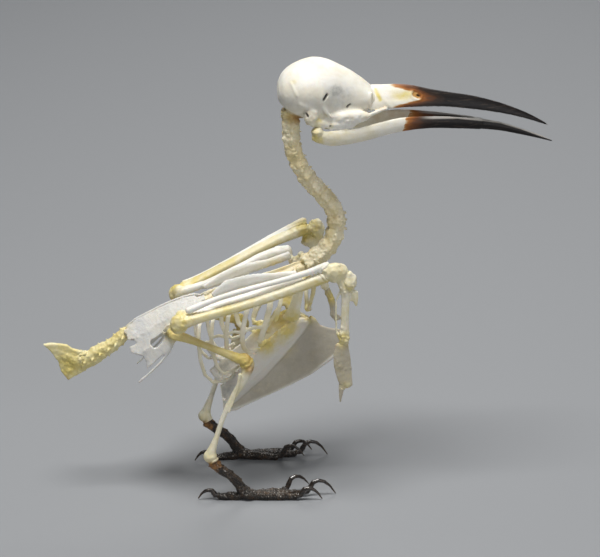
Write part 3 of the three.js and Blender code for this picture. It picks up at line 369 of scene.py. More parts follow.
class Look:
    """A procedural surface built on object coordinates in millimetres."""

    UNDER_RADIUS = (1.0, 0.62, 0.38)
    UNDER_DEPTH = 0.9
    COAT_ROUGHNESS = 0.2

    def __init__(self, name):
        self.material = bpy.data.materials.new(name)
        self.material.use_nodes = True
        self.nodes = self.material.node_tree.nodes
        self.links = self.material.node_tree.links
        self.surface = self.nodes["Principled BSDF"]
        coordinates = self.nodes.new("ShaderNodeTexCoord")
        scale = self.nodes.new("ShaderNodeMapping")
        scale.inputs["Scale"].default_value = (1 / MM,) * 3
        self.links.new(coordinates.outputs["Object"], scale.inputs["Vector"])
        self.place = scale.outputs["Vector"]

    def put(self, socket, value):
        if isinstance(value, bpy.types.NodeSocket):
            self.links.new(value, socket)
        else:
            socket.default_value = value

    def noise(self, size, detail, rough, stretch=None):
        node = self.nodes.new("ShaderNodeTexNoise")
        node.inputs["Scale"].default_value = 1 / size
        node.inputs["Detail"].default_value = detail
        node.inputs["Roughness"].default_value = rough
        place = self.place
        if stretch:
            stretched = self.nodes.new("ShaderNodeMapping")
            stretched.inputs["Scale"].default_value = stretch
            self.links.new(self.place, stretched.inputs["Vector"])
            place = stretched.outputs["Vector"]
        self.links.new(place, node.inputs["Vector"])
        return node.outputs["Fac"]

    def cells(self, size, feature="F1"):
        node = self.nodes.new("ShaderNodeTexVoronoi")
        node.feature = feature
        node.inputs["Scale"].default_value = 1 / size
        self.links.new(self.place, node.inputs["Vector"])
        return node.outputs["Distance"]

    def field(self, name):
        node = self.nodes.new("ShaderNodeAttribute")
        node.attribute_name = name
        return node.outputs["Fac"]

    def ramp(self, value, low, high, start=0.0, end=1.0):
        node = self.nodes.new("ShaderNodeMapRange")
        node.interpolation_type = "SMOOTHSTEP"
        self.put(node.inputs["Value"], value)
        node.inputs["From Min"].default_value = low
        node.inputs["From Max"].default_value = high
        node.inputs["To Min"].default_value = start
        node.inputs["To Max"].default_value = end
        return node.outputs["Result"]

    def maths(self, a, b, operation="ADD"):
        node = self.nodes.new("ShaderNodeMath")
        node.operation = operation
        self.put(node.inputs[0], a)
        self.put(node.inputs[1], b)
        return node.outputs["Value"]

    def mix(self, share, a, b, blend="MIX"):
        node = self.nodes.new("ShaderNodeMix")
        node.data_type = "RGBA"
        node.blend_type = blend
        self.put(node.inputs["Factor"], share)
        self.put(node.inputs["A"], a)
        self.put(node.inputs["B"], b)
        return node.outputs["Result"]

    def stops(self, value, entries):
        node = self.nodes.new("ShaderNodeValToRGB")
        elements = node.color_ramp.elements
        while len(elements) < len(entries):
            elements.new(0.5)
        for element, (place, shade) in zip(elements, entries):
            element.position = place
            element.color = shade
        self.put(node.inputs["Fac"], value)
        return node.outputs["Color"]

    def bumped(self, heights):
        normal = None
        for height, strength, depth in heights:
            node = self.nodes.new("ShaderNodeBump")
            node.inputs["Strength"].default_value = strength
            node.inputs["Distance"].default_value = depth * MM
            self.links.new(height, node.inputs["Height"])
            if normal is not None:
                self.links.new(normal, node.inputs["Normal"])
            normal = node.outputs["Normal"]
        self.links.new(normal, self.surface.inputs["Normal"])

    def finish(self, base, rough, under=0.0, coat=0.0, specular=0.5):
        self.put(self.surface.inputs["Base Color"], base)
        self.put(self.surface.inputs["Roughness"], rough)
        self.surface.inputs["Subsurface Weight"].default_value = under
        self.surface.inputs["Subsurface Radius"].default_value = self.UNDER_RADIUS
        self.surface.inputs["Subsurface Scale"].default_value = self.UNDER_DEPTH * MM
        self.surface.inputs["Coat Weight"].default_value = coat
        self.surface.inputs["Coat Roughness"].default_value = self.COAT_ROUGHNESS
        self.surface.inputs["Specular IOR Level"].default_value = specular
        return self.material


WHITE = colour(0.82, 0.80, 0.74)
IVORY = colour(0.77, 0.735, 0.63)
CREAM = colour(0.72, 0.66, 0.46)
YELLOW = colour(0.70, 0.575, 0.165)
ORANGE = colour(0.45, 0.24, 0.07)
# Near black, for the painted shade in holes.
HOLE_SHADE_COLOUR = colour(0.018, 0.013, 0.01)
COOL = colour(0.34, 0.35, 0.33)
HORN_STOPS = [
    (0.06, colour(0.58, 0.36, 0.13)), (0.20, colour(0.33, 0.12, 0.028)), (0.40, colour(0.13, 0.048, 0.018)),
    (0.64, colour(0.032, 0.018, 0.012)), (1.0, colour(0.010, 0.009, 0.009)),
]
HORN_STREAK = colour(0.10, 0.07, 0.05)
# Pale grey for the painted highlight along the bill's cutting edges.
HORN_EDGE_HIGHLIGHT = colour(0.42, 0.40, 0.37)
SKIN_DARK = colour(0.016, 0.011, 0.008)
SKIN_BROWN = colour(0.075, 0.045, 0.024)
SKIN_GROOVE = colour(0.006, 0.005, 0.004)
# Pale flecks: worn scales, and partly painted highlights.
SKIN_FLECK_AND_HIGHLIGHT = colour(0.52, 0.49, 0.43)
SKIN_TAN = colour(0.34, 0.16, 0.045)
CLAW_DARK = colour(0.012, 0.010, 0.009)
CLAW_STREAK = colour(0.06, 0.04, 0.027)
CLAW_TIP = colour(0.11, 0.075, 0.045)


def bone_colour(look, pale, greasy, speckle):
    """Bone, then the stains of the fields tissue, brown and cold (tissue is also painted bounce light on the
    undersides of most bones), then painted light on the breast bone and painted shade in holes from two more
    fields.
    """
    patches = look.noise(5.0, 4.0, 0.6)
    mottle = look.noise(1.1, 4.0, 0.62)
    grain = look.noise(0.28, 3.0, 0.6)
    base = look.mix(look.ramp(patches, 0.38, 0.64), pale, greasy)
    # Painted light: whiter where the breast bone's plate and rim catch the light.
    base = look.mix(look.field("painted_light"), base, WHITE)
    base = look.mix(look.ramp(mottle, 0.50, 0.76, 0.0, speckle), base, CREAM)
    uneven = look.ramp(look.noise(2.2, 3.0, 0.55), 0.3, 0.7, 0.7, 1.25)
    # The field tissue is the yellow of dried tissue and grease; on the undersides of most bones it is also
    # painted bounce light.
    yellow_stain_and_bounce = look.maths(look.field("tissue"), uneven, "MULTIPLY")
    base = look.mix(look.ramp(yellow_stain_and_bounce, 0.0, 1.05, 0.0, 0.95), base, YELLOW)
    brown = look.maths(look.field("brown"), uneven, "MULTIPLY")
    base = look.mix(look.ramp(brown, 0.08, 0.9), base, ORANGE)
    cold = look.maths(look.field("cold"), look.ramp(mottle, 0.3, 0.7, 1.3, 0.6), "MULTIPLY")
    base = look.mix(look.ramp(cold, 0.05, 1.0, 0.0, 0.75), base, COOL)
    base = look.mix(look.ramp(grain, 0.3, 0.7, 0.6 * speckle, 0.0), base, CREAM, "MULTIPLY")
    # Painted shade in holes, near black.
    base = look.mix(look.field("painted_hole_shade"), base, HOLE_SHADE_COLOUR)
    return base, mottle, grain


def bone_look(name, pale, greasy, under, pitted, speckle):
    look = Look(name)
    base, mottle, grain = bone_colour(look, pale, greasy, speckle)
    pores = look.ramp(look.cells(0.42), 0.0, 0.28)
    fibres = look.noise(0.5, 2.0, 0.5)
    base = look.mix(look.ramp(pores, 0.0, 1.0, 0.4 * pitted, 0.0), base, CREAM, "MULTIPLY")
    look.bumped([(mottle, speckle, 0.16), (fibres, 0.8 * pitted, 0.07), (pores, pitted, 0.06),
                 (grain, 0.25, 0.03)])
    wet = look.maths(look.field("tissue"), look.field("brown"), "MAXIMUM")
    rough = look.maths(look.ramp(mottle, 0.25, 0.75, 0.42, 0.62), look.ramp(wet, 0.0, 1.0, 0.0, -0.12))
    return look.finish(base, rough, under)


def horn_look(name):
    """Horn over bone: the field horn runs from bare bone at 0 to black horn at 1."""
    look = Look(name)
    base, mottle, grain = bone_colour(look, WHITE, IVORY, 0.25)
    streaks = look.noise(0.6, 3.0, 0.55, (0.14, 1.4, 1.4))
    cover = look.maths(look.field("horn"), look.ramp(streaks, 0.3, 0.7, -0.05, 0.05))
    horn = look.stops(cover, HORN_STOPS)
    horn = look.mix(look.ramp(streaks, 0.5, 0.75, 0.0, 0.35), horn, HORN_STREAK, "LIGHTEN")
    base = look.mix(look.ramp(cover, 0.03, 0.16), base, horn)
    # Painted highlight along the cutting edges.
    base = look.mix(look.field("painted_edge_highlight"), base, HORN_EDGE_HIGHLIGHT)
    # Painted shade in the nostril pit.
    base = look.mix(look.field("painted_hole_shade"), base, HOLE_SHADE_COLOUR)
    look.bumped([(streaks, 0.3, 0.06), (mottle, 0.2, 0.05), (grain, 0.2, 0.02)])
    rough = look.ramp(look.maths(cover, look.ramp(mottle, 0.3, 0.7, -0.15, 0.15)), 0.1, 0.7, 0.5, 0.42)
    return look.finish(base, rough, 0.06, 0.0, 0.22)


def skin_look(name):
    """Dried scaly skin, with pale flecks where a field says: worn scales, and partly painted highlights on
    the skin that faces up.
    """
    look = Look(name)
    scales = look.cells(0.55, "DISTANCE_TO_EDGE")
    fine = look.noise(0.2, 3.0, 0.6)
    mottle = look.noise(1.2, 4.0, 0.6)
    flecks = look.noise(0.42, 2.0, 0.5, (1.5, 0.8, 0.8))
    domes = look.ramp(scales, 0.0, 0.26)
    base = look.mix(look.ramp(mottle, 0.35, 0.65), SKIN_DARK, SKIN_BROWN)
    base = look.mix(look.ramp(domes, 0.1, 0.9, 0.7, 0.0), base, SKIN_GROOVE)
    # Pale flecks on the scale edges: worn scales, and partly painted highlights.
    worn_and_lit = look.maths(look.ramp(flecks, 0.56, 0.66), look.ramp(scales, 0.03, 0.14), "MULTIPLY")
    worn_and_lit = look.maths(worn_and_lit, look.field("flecks_and_highlights"), "MULTIPLY")
    base = look.mix(look.maths(worn_and_lit, 0.85, "MULTIPLY"), base, SKIN_FLECK_AND_HIGHLIGHT)
    brown = look.maths(look.field("brown"), look.ramp(mottle, 0.3, 0.7, -0.25, 0.25))
    base = look.mix(look.ramp(brown, 0.1, 0.8), base, SKIN_TAN)
    look.bumped([(domes, 0.9, 0.16), (mottle, 0.3, 0.1), (fine, 0.35, 0.04)])
    return look.finish(base, look.ramp(fine, 0.3, 0.7, 0.3, 0.55), 0.0, 0.15)


def claw_look(name):
    """Dark horn, paler at the tip."""
    look = Look(name)
    streaks = look.noise(0.35, 3.0, 0.5, (0.4, 1.6, 0.8))
    mottle = look.noise(0.9, 3.0, 0.6)
    base = look.mix(look.ramp(streaks, 0.35, 0.75), CLAW_DARK, CLAW_STREAK)
    base = look.mix(look.field("tip"), base, CLAW_TIP)
    look.bumped([(streaks, 0.3, 0.05), (mottle, 0.2, 0.04)])
    return look.finish(base, look.ramp(mottle, 0.3, 0.7, 0.2, 0.38), 0.0, 0.4)


LOOKS = {
    "skull": bone_look("cranium_bone", colour(0.86, 0.84, 0.775), colour(0.81, 0.77, 0.655), 0.14, 0.12,
                       0.12),
    "horn": horn_look("bill_horn"),
    "jaw": horn_look("jaw_horn"),
    "spine": bone_look("spine_bone", colour(0.88, 0.81, 0.62), colour(0.84, 0.72, 0.44), 0.1, 0.5, 0.4),
    "tail": bone_look("tail_bone", colour(0.80, 0.75, 0.50), colour(0.72, 0.63, 0.30), 0.1, 0.4, 0.3),
    "pale": bone_look("pale_bone", colour(0.88, 0.87, 0.84), colour(0.82, 0.81, 0.75), 0.14, 0.2, 0.12),
    "pelvis": bone_look("pelvis_bone", colour(0.60, 0.60, 0.595), colour(0.70, 0.69, 0.645), 0.2, 0.9, 0.2),
    # The breast bone's colours are dark partly as painted shade on the keel; the fingers share them.
    "breast": bone_look("breast_bone", colour(0.53, 0.49, 0.41), colour(0.46, 0.42, 0.335), 0.22, 0.6, 0.25),
    "rib": bone_look("rib_bone", colour(0.84, 0.81, 0.71), colour(0.78, 0.73, 0.56), 0.12, 0.3, 0.25),
    "limb": bone_look("limb_bone", colour(0.86, 0.83, 0.72), colour(0.80, 0.75, 0.55), 0.12, 0.3, 0.25),
    "fatty": bone_look("fatty_bone", colour(0.74, 0.63, 0.30), colour(0.68, 0.54, 0.20), 0.12, 0.3, 0.25),
    "skin": skin_look("dried_foot_skin"),
    "claw": claw_look("claw_horn"),
}


# Dried tissue that bridges the narrow gap between two bones. It covers BRIDGE_SHARE of the gap, up to
# BRIDGE_HIGHEST, and fades out from BRIDGE_FADE to BRIDGE_REACH.
BRIDGE_REACH, BRIDGE_FADE = 0.8, 0.5
BRIDGE_SHARE, BRIDGE_HIGHEST = 0.9, 0.5
BRIDGE_FACING = (0.3, 0.75)
TOUCHING = 1e-4
BOX_MARGIN = 0.005


def solid_tree(skipped):
    """A search tree of all the solids but the ones skipped, in millimetres from the frame's origin."""
    points, faces, base = [], [], 0
    for node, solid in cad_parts.items():
        if node in skipped:
            continue
        points += [tuple(vertex.co / MM) for vertex in solid.data.vertices]
        faces += [tuple(index + base for index in face.vertices) for face in solid.data.polygons]
        base += len(solid.data.vertices)
    return BVHTree.FromPolygons(points, faces)


def bridged(mesh, node, apart=()):
    """Draws the surface out towards the nearest other bone, except towards the bones named in apart."""
    tree = solid_tree((node, *apart))
    points = positions(mesh) + SHIFT
    facing = normals_of(mesh)
    heights = np.zeros(len(points))
    for index, (point, normal) in enumerate(zip(points, facing)):
        place, _, _, away = tree.find_nearest(point, BRIDGE_REACH)
        if place is None or away < TOUCHING:
            continue
        towards = (np.array(place) - point) @ normal / away
        height = BRIDGE_SHARE * min(away, BRIDGE_HIGHEST) * smooth_step(*BRIDGE_FACING, towards)
        heights[index] = height * smooth_step(BRIDGE_REACH, BRIDGE_FADE, away)
    push(mesh, heights)


def fields(mesh, extra_grease_and_bounce=0.0):
    """Paints the stains that follow the places listed above; any extra yellow passed in is grease and
    painted bounce light.
    """
    points = positions(mesh)
    tissue = np.maximum(strongest(points, TISSUE), extra_grease_and_bounce)
    paint(mesh, "tissue", tissue)
    paint(mesh, "brown", strongest(points, BROWN))
    paint(mesh, "cold", strongest(points, COLD))
    return points, tissue


def show(name, mesh, look, node):
    """Keeps the skin inside the box of the solids, dresses it and puts it in place of its solid."""
    low, high = (np.array(corner) / MM - SHIFT for corner in cad_box)
    set_positions(mesh, np.clip(positions(mesh), low + BOX_MARGIN, high - BOX_MARGIN))
    mesh.shade_smooth()
    mesh.materials.clear()
    mesh.materials.append(LOOKS[look])
    piece = bpy.data.objects.new(name, mesh)
    bpy.context.scene.collection.objects.link(piece)
    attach(piece, "root")
    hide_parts(node)


# Skull
SKULL_VOXEL, SKULL_ROUNDS = 0.2, 4
SKULL_RINGS, SKULL_AROUND = 81, 72
SKULL_REAR, SKULL_FRONT = np.array([-5.2, 0, 94.7]), np.array([16.3, 0, 92.6])
# Stations along the middle: forward, top, underside, half width
SKULL_STATIONS = [
    (-4.9, 96.6, 92.6, 2.6), (-4.0, 98.4, 91.3, 4.6), (-2.2, 100.1, 89.8, 6.2), (0.4, 101.4, 88.6, 7.3),
    (3.2, 102.0, 88.0, 7.6), (6.0, 101.5, 87.9, 7.1), (8.8, 100.2, 88.0, 6.3), (11.4, 98.8, 88.4, 5.5),
    (13.8, 97.1, 89.0, 4.7), (15.4, 95.8, 89.8, 4.1), (16.2, 95.0, 90.3, 3.6),
]
NECK_KNOB = ball((-2.4, 0, 90.3), (0.8, 0.9, 0.7))
# Eye socket, temple and cheek: centre, radii, height
SKULL_FORMS = [
    ((9.6, 5.6, 94.2), (4.4, 4.0, 3.6), -0.75),
    ((4.2, 7.2, 93.6), (0.8, 2.0, 3.0), 0.3),
    ((9.6, 5.6, 90.4), (4.6, 2.0, 0.9), 0.3),
]
# Rim of the ear and ridge of the dome, drawn on the side view: start, end, width, height
SKULL_RIDGES = [((-0.6, 93.2), (3.0, 91.5), 0.5, 0.22), ((-2.5, 97.6), (-1.4, 95.3), 0.35, 0.12)]
# Slits, sunk and painted almost black as painted shade in the openings, drawn on the side view: start, end,
# radius
SKULL_SLITS = [
    ((4.55, 94.4), (5.25, 95.4), 0.34), ((10.1, 91.85), (10.8, 92.3), 0.22), ((0.6, 91.1), (0.9, 90.6), 0.3),
    ((6.0, 88.0), (6.1, 88.0), 0.2),
]
# How deep the slits sink, and how strong the painted shade in them is
SLIT_DEPTH, SLIT_SHADE = 0.7, 0.96
# Greasy places: centre, radii, strength
SKULL_GREASE = [
    ((3.4, 6.6, 89.8), (4.4, 3.0, 2.2), 0.34), ((-2.0, 5.6, 98.1), (1.0, 2.0, 0.7), 0.4),
    ((14.0, 5.0, 89.6), (2.6, 2.0, 1.4), 0.3),
]
SKULL_SEAM = ((15.6, 94.8), (16.4, 93.0))


def fine_stations(stations, count):
    """The curve through the first three values of the stations, and the half widths along it."""
    places = np.linspace(0, len(stations) - 1, count)
    halves = np.interp(places, range(len(stations)), [station[3] for station in stations])
    return curve_points([station[:3] for station in stations], count), halves


def skull_mesh():
    spine, halves = fine_stations(SKULL_STATIONS, SKULL_RINGS)
    turns = 2 * np.pi * np.arange(SKULL_AROUND) / SKULL_AROUND
    rings = [np.stack([np.full(SKULL_AROUND, x), half * np.cos(turns),
                       (top + low) / 2 + (top - low) / 2 * np.sin(turns)], 1)
             for (x, top, low), half in zip(spine, halves)]
    shapes = [closed_skin(np.array(rings), SKULL_REAR, SKULL_FRONT), NECK_KNOB]
    half_shapes = [
        tube([(4.2, 6.4, 93.6), (5.2, 6.6, 91.4), (6.3, 6.5, 90.0)],
             [(0.8, 0.9), (0.6, 0.6), (0.3, 0.3)], (1, 0, 0)),
        ball((1.9, 6.1, 90.2), (1.8, 1.3, 2.2)),
        ball((8.6, 4.7, 89.5), (6.6, 1.9, 2.1)),
        tube([(2.6, 6.5, 89.1), (6.2, 6.3, 88.2), (9.5, 5.9, 88.2), (12.8, 5.4, 88.8), (16.2, 4.6, 90.2),
              (19.0, 4.0, 91.0)],
             [(0.5, 0.7), (0.45, 0.85), (0.45, 0.9), (0.4, 0.7), (0.4, 0.5), (0.34, 0.34)]),
        tube([(5.0, 2.6, 88.6), (10.5, 2.4, 88.0), (15.2, 1.8, 90.4)], [(0.9, 0.4), (1.1, 0.4), (0.7, 0.4)]),
        tube([(15.6, 3.6, 94.6), (15.4, 3.9, 92.2), (15.6, 3.8, 90.4)],
             [(0.5, 0.35), (0.4, 0.3), (0.3, 0.3)], (1, 0, 0)),
    ]
    for shape in half_shapes:
        shapes += [shape, mirrored(shape)]
    mesh = remeshed("skull_skin", mesh_from("skull_parts", shapes), SKULL_VOXEL)
    relax(mesh, SKULL_ROUNDS)
    bridged(mesh, "skull")
    points = positions(mesh)
    near = folded(points)
    sides = smooth_step(2.0, 3.4, near[:, 1])
    heights = 0.09 * noise(points, 3.2, 3, 3) + 0.025 * noise(points, 0.7, 4, 2)
    for centre, radii, height in SKULL_FORMS:
        heights += sides * height * spot(near, centre, radii)
    for start, end, width, height in SKULL_RIDGES:
        heights += sides * height * band(beside(near, start, end), width)
    spongy = sides * smooth_step(91.6, 89.8, points[:, 2])
    heights += spongy * (0.2 * noise(points, 1.3, 6, 2) + 0.08 * noise(points, 0.5, 7, 2) - 0.06)
    # The slits are sunk and painted almost black: painted shade inside the openings.
    painted_hole_shade = np.zeros(len(points))
    for start, end, radius in SKULL_SLITS:
        inside = sides * (1 - smooth_step(0.5 * radius, 1.2 * radius, beside(near, start, end)))
        painted_hole_shade = np.maximum(painted_hole_shade, SLIT_SHADE * inside)
        heights -= inside * min(SLIT_DEPTH, 1.5 * radius)
    push(mesh, heights)
    points, tissue = fields(mesh)
    seam_tissue = 0.3 * sides * band(beside(near, *SKULL_SEAM), 0.6)
    greasy = 0.3 * spongy * smooth_step(-0.2, 0.6, noise(points, 1.6, 8, 2))
    for centre, radii, strength in SKULL_GREASE:
        greasy += strength * spot(near, centre, radii)
    paint(mesh, "tissue", np.maximum(tissue, np.maximum(seam_tissue, greasy)))
    paint(mesh, "painted_hole_shade", painted_hole_shade)
    return mesh


show("skull_skin", skull_mesh(), "skull", "skull")

# Upper bill
BILL_VOXEL, BILL_ROUNDS = 0.16, 5
BILL_RINGS = 121
BILL_ROOT, BILL_TIP = np.array([14.5, 0, 92.9]), np.array([57.2, 0, 84.4])
# Half of the bill's section: share of its half width, share of its height
BILL_SECTION = [(0, 0.12), (0.5, 0.03), (1, 0), (0.985, 0.16), (0.93, 0.34), (0.74, 0.62), (0.5, 0.82),
                (0.3, 0.935), (0, 1)]
# Stations along the middle: forward, top, underside, half width
BILL_STATIONS = [
    (14.7, 95.0, 91.0, 3.7), (16.4, 95.4, 90.6, 4.05), (18.5, 95.4, 90.8, 3.8), (21.5, 95.4, 90.8, 3.5),
    (25.0, 95.1, 90.7, 2.8), (29.3, 94.1, 90.5, 2.2), (33.9, 93.2, 90.1, 1.75), (38.4, 92.4, 89.4, 1.4),
    (43.0, 91.2, 88.6, 1.1), (47.6, 89.6, 87.6, 0.85), (52.3, 87.5, 86.2, 0.58), (55.6, 85.6, 85.0, 0.32),
]
# Drawn on the side view, start and end
NOSTRIL = ((25.6, 93.5), (26.4, 93.1))
NOSTRIL_PIT = ((26.3, 93.3), (26.7, 93.1))
BILL_ROOT_RIDGE = ((16.4, 95.0), (20.2, 90.9))
BILL_SEAM = ((16.7, 94.6), (17.6, 92.9))
# Where the horn starts at the edges of the bill, how much further forward half way up, and its fading
HORN_START, HORN_BAY = 19.8, 6.4
HORN_FADE, HORN_FADE_CUT = 11.0, 4.0


def upper_bill_mesh():
    spine, halves = fine_stations(BILL_STATIONS, BILL_RINGS)
    profile = BILL_SECTION + [(-wide, high) for wide, high in reversed(BILL_SECTION[1:-1])]
    rings = [np.array([(x, wide * half, low + (top - low) * high) for wide, high in profile])
             for (x, top, low), half in zip(spine, halves)]
    body = closed_skin(np.array(rings), BILL_ROOT, BILL_TIP)
    mesh = remeshed("upper_bill_skin", mesh_from("bill_parts", [body]), BILL_VOXEL)
    relax(mesh, BILL_ROUNDS)
    points = positions(mesh)
    near = folded(points)
    top = np.interp(points[:, 0], spine[:, 0], spine[:, 1])
    low = np.interp(points[:, 0], spine[:, 0], spine[:, 2])
    rise = np.clip((points[:, 2] - low) / np.maximum(top - low, 0.3), 0, 1)
    sides = smooth_step(0.9, 1.6, near[:, 1])
    nostril = beside(near, *NOSTRIL)
    opening = sides * (1 - smooth_step(0.35, 0.75, nostril))
    pit = sides * (1 - smooth_step(0.1, 0.3, beside(near, *NOSTRIL_PIT)))
    heights = 0.035 * noise(points * np.array([0.2, 1, 1]), 0.8, 11, 3) - 0.22 * opening - 0.3 * pit
    heights += 0.12 * sides * band(nostril - 0.9, 0.25)
    heights -= 0.32 * sides * spot(near, (22.6, 3.2, 93.6), (3.4, 1.6, 1.25))
    heights += 0.14 * sides * band(beside(near, *BILL_ROOT_RIDGE), 0.45)
    push(mesh, heights)
    points, _ = fields(mesh)
    seam = 0.8 * band(beside(near, *BILL_SEAM), 0.5)
    membrane = 0.85 * spot(near, (23.4, 3.0, 93.6), (3.2, 2.0, 1.3))
    paint(mesh, "tissue", sides * np.maximum(membrane, seam))
    wedge = np.clip(1 - ((rise - 0.52) / 0.4) ** 2, 0, 1)
    start = HORN_START + HORN_BAY * wedge
    horn = (points[:, 0] - start + 0.8 * noise(points, 1.6, 12, 2)) / (HORN_FADE - HORN_FADE_CUT * wedge)
    paint(mesh, "horn", horn)
    paint(mesh, "brown", 0.9 * opening)
    # Painted highlight along the lower edge of the upper bill, forward of 24 mm.
    paint(mesh, "painted_edge_highlight", 0.6 * smooth_step(0.09, 0.02, rise) * smooth_step(24, 30, points[:, 0]))
    # The nostril pit is painted dark: painted shade in the hole.
    paint(mesh, "painted_hole_shade", 0.8 * pit)
    return mesh


show("upper_bill_skin", upper_bill_mesh(), "horn", "upper_bill")

# Lower jaw
JAW_VOXEL, JAW_ROUNDS = 0.16, 4
RAMUS_PATH = [(2.9, 6.5, 85.7), (6.5, 6.4, 85.1), (12.5, 5.4, 85.4), (17.5, 4.3, 86.2), (22.5, 3.3, 86.9),
              (29.0, 2.2, 86.9), (35.5, 1.2, 86.3), (41.0, 0.35, 85.6)]
RAMUS_SIZES = [(0.75, 1.35), (0.7, 1.75), (0.6, 1.75), (0.6, 1.7), (0.65, 1.65), (0.75, 1.4), (0.7, 1.35),
               (0.6, 1.3)]
JAW_TIP_PATH = [(39.5, 0, 85.8), (45.5, 0, 84.8), (50.1, 0, 83.5), (54.8, 0, 82.0), (57.6, 0, 80.95)]
JAW_TIP_SIZES = [(0.85, 1.3), (0.65, 1.0), (0.5, 0.72), (0.36, 0.42), (0.2, 0.15)]
# The middle line on the side view, half the height along it, and how far out the two sides stand
JAW_LINE = [2.9, 12.5, 22.5, 35.5, 45.5, 50.1, 57.6], [85.6, 85.4, 86.9, 86.3, 84.8, 83.5, 80.95]
JAW_HALVES = [2.9, 22.5, 35.5, 45.5, 57.6], [1.6, 1.65, 1.35, 1.0, 0.2]
JAW_SPREAD = [2.9, 41], [6.4, 0.4]
JAW_HORN_START, JAW_HORN_FADE = 23.0, 8.0


def lower_jaw_mesh():
    ramus = tube(RAMUS_PATH, RAMUS_SIZES)
    joint = ball((3.2, 6.2, 86.7), (1.4, 1.5, 1.05))
    hook = tube([(3.6, 6.5, 85.1), (2.3, 6.3, 85.4)], [(0.9, 1.0), (0.6, 0.7)])
    shapes = [ramus, joint, hook, tube(JAW_TIP_PATH, JAW_TIP_SIZES)]
    shapes += [mirrored(shape) for shape in shapes[:3]]
    mesh = remeshed("lower_jaw_skin", mesh_from("jaw_parts", shapes), JAW_VOXEL)
    relax(mesh, JAW_ROUNDS)
    bridged(mesh, "lower_jaw")
    points = positions(mesh)
    spongy = spot(folded(points), (3.0, 6.4, 86.0), 2.6)
    heights = 0.03 * noise(points * np.array([0.25, 1, 1]), 0.8, 21, 3)
    heights += spongy * (0.16 * noise(points, 0.55, 22, 2) - 0.05)
    push(mesh, heights)
    fields(mesh)
    forward = points[:, 0]
    rise = (points[:, 2] - np.interp(forward, *JAW_LINE)) / np.interp(forward, *JAW_HALVES)
    inner = smooth_step(0.2, -0.4, np.abs(points[:, 1]) - np.interp(forward, *JAW_SPREAD))
    start = JAW_HORN_START + 1.6 * inner + 0.4 * rise
    horn = (forward - start + 0.4 * noise(points, 1.4, 23, 2)) / (JAW_HORN_FADE + 6.0 * inner)
    paint(mesh, "horn", np.where(horn > 0, 0.12 + horn, 0))
    paint(mesh, "brown", 0.32 * inner * smooth_step(8, 18, forward))
    paint(mesh, "tissue", 0.42 * spongy + 0.34 * smooth_step(30, 8, forward))
    # Painted highlight along the top edge of the lower jaw, forward of 26 mm.
    paint(mesh, "painted_edge_highlight", 0.8 * smooth_step(0.72, 0.95, rise) * smooth_step(26, 30, forward))
    paint(mesh, "painted_hole_shade", np.zeros(len(points)))
    return mesh


show("lower_jaw_skin", lower_jaw_mesh(), "jaw", "lower_jaw")


# Every other bone is its solid, meshed finely, rounded, and given the unevenness of dried remains
TISSUE_HEIGHT, TISSUE_WAVES = 0.12, 0.3
WAVE_SIZE, RIPPLE_SIZE, TISSUE_SIZE, GREASE_SIZE = 1.9, 0.5, 0.8, 3.0


def worked(node, voxel, rounds, waves, ripple, lump, greasy, apart=()):
    """lump is None or (count, radius, height); waves and ripple are heights; greasy is the strength of a
    yellow that is part grease and, on the undersides, part painted bounce light.
    """
    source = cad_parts[node].data.copy()
    mesh = remeshed(node + "_skin", source, voxel)
    relax(mesh, rounds)
    bridged(mesh, node, apart)
    points = positions(mesh)
    seed = sum(ord(letter) for letter in node)
    tissue = strongest(points, TISSUE)
    heights = waves * noise(points, WAVE_SIZE, seed, 3) + ripple * noise(points, RIPPLE_SIZE, seed + 1, 2)
    heights += tissue * (TISSUE_HEIGHT + TISSUE_WAVES * noise(points, TISSUE_SIZE, seed + 2, 3))
    if lump:
        heights += lumps(points, *lump, seed, tissue ** 2 if node.startswith("hand") else None)
    push(mesh, heights)
    # Yellow on downward-facing surfaces: grease, and partly painted bounce light on the undersides; on the
    # ulna it also grows towards the rear end.
    under = smooth_step(0.5, -0.5, normals_of(mesh)[:, 2])
    if node.startswith("ulna"):
        under = np.maximum(under, smooth_step(-6, -24, points[:, 0]))
    uneven = 0.2 * noise(points, GREASE_SIZE, seed + 3, 2)
    fields(mesh, greasy * np.clip(0.4 + 0.55 * under + uneven, 0, 1))
    paint(mesh, "painted_hole_shade", np.zeros(len(points)))
    return mesh


# The keel's root and its free rim, on the side view
KEEL_ROOT = [(2.3, 39.3), (-8.9, 25.5), (-17.8, 17.9)]
KEEL_RIM = [(10.4, 36.0), (9.2, 31.6), (2.3, 25.8), (-7.0, 21.4), (-17.0, 17.3)]


def dress_keel(mesh):
    """Thickens the keel's root and rim, and paints light: a highlight along the rim, and whiter lit bone
    over all above the keel.
    """
    points = positions(mesh)
    forward, up = zip(*reversed(KEEL_ROOT))
    above = points[:, 2] - np.interp(points[:, 0], forward, up)
    root = off_line(points, KEEL_ROOT)
    rim = off_line(points, KEEL_RIM)
    push(mesh, 0.16 * band(root, 0.5) + 0.1 * band(rim, 0.4))
    # Painted light: a highlight along the rim, and lit white over all above the keel.
    paint(mesh, "painted_light", np.maximum(0.8 * smooth_step(-0.4, 1.0, above), 0.9 * band(rim, 0.4)))


def both(*names):
    return [f"{name}_{side}" for name in names for side in ("right", "left")]


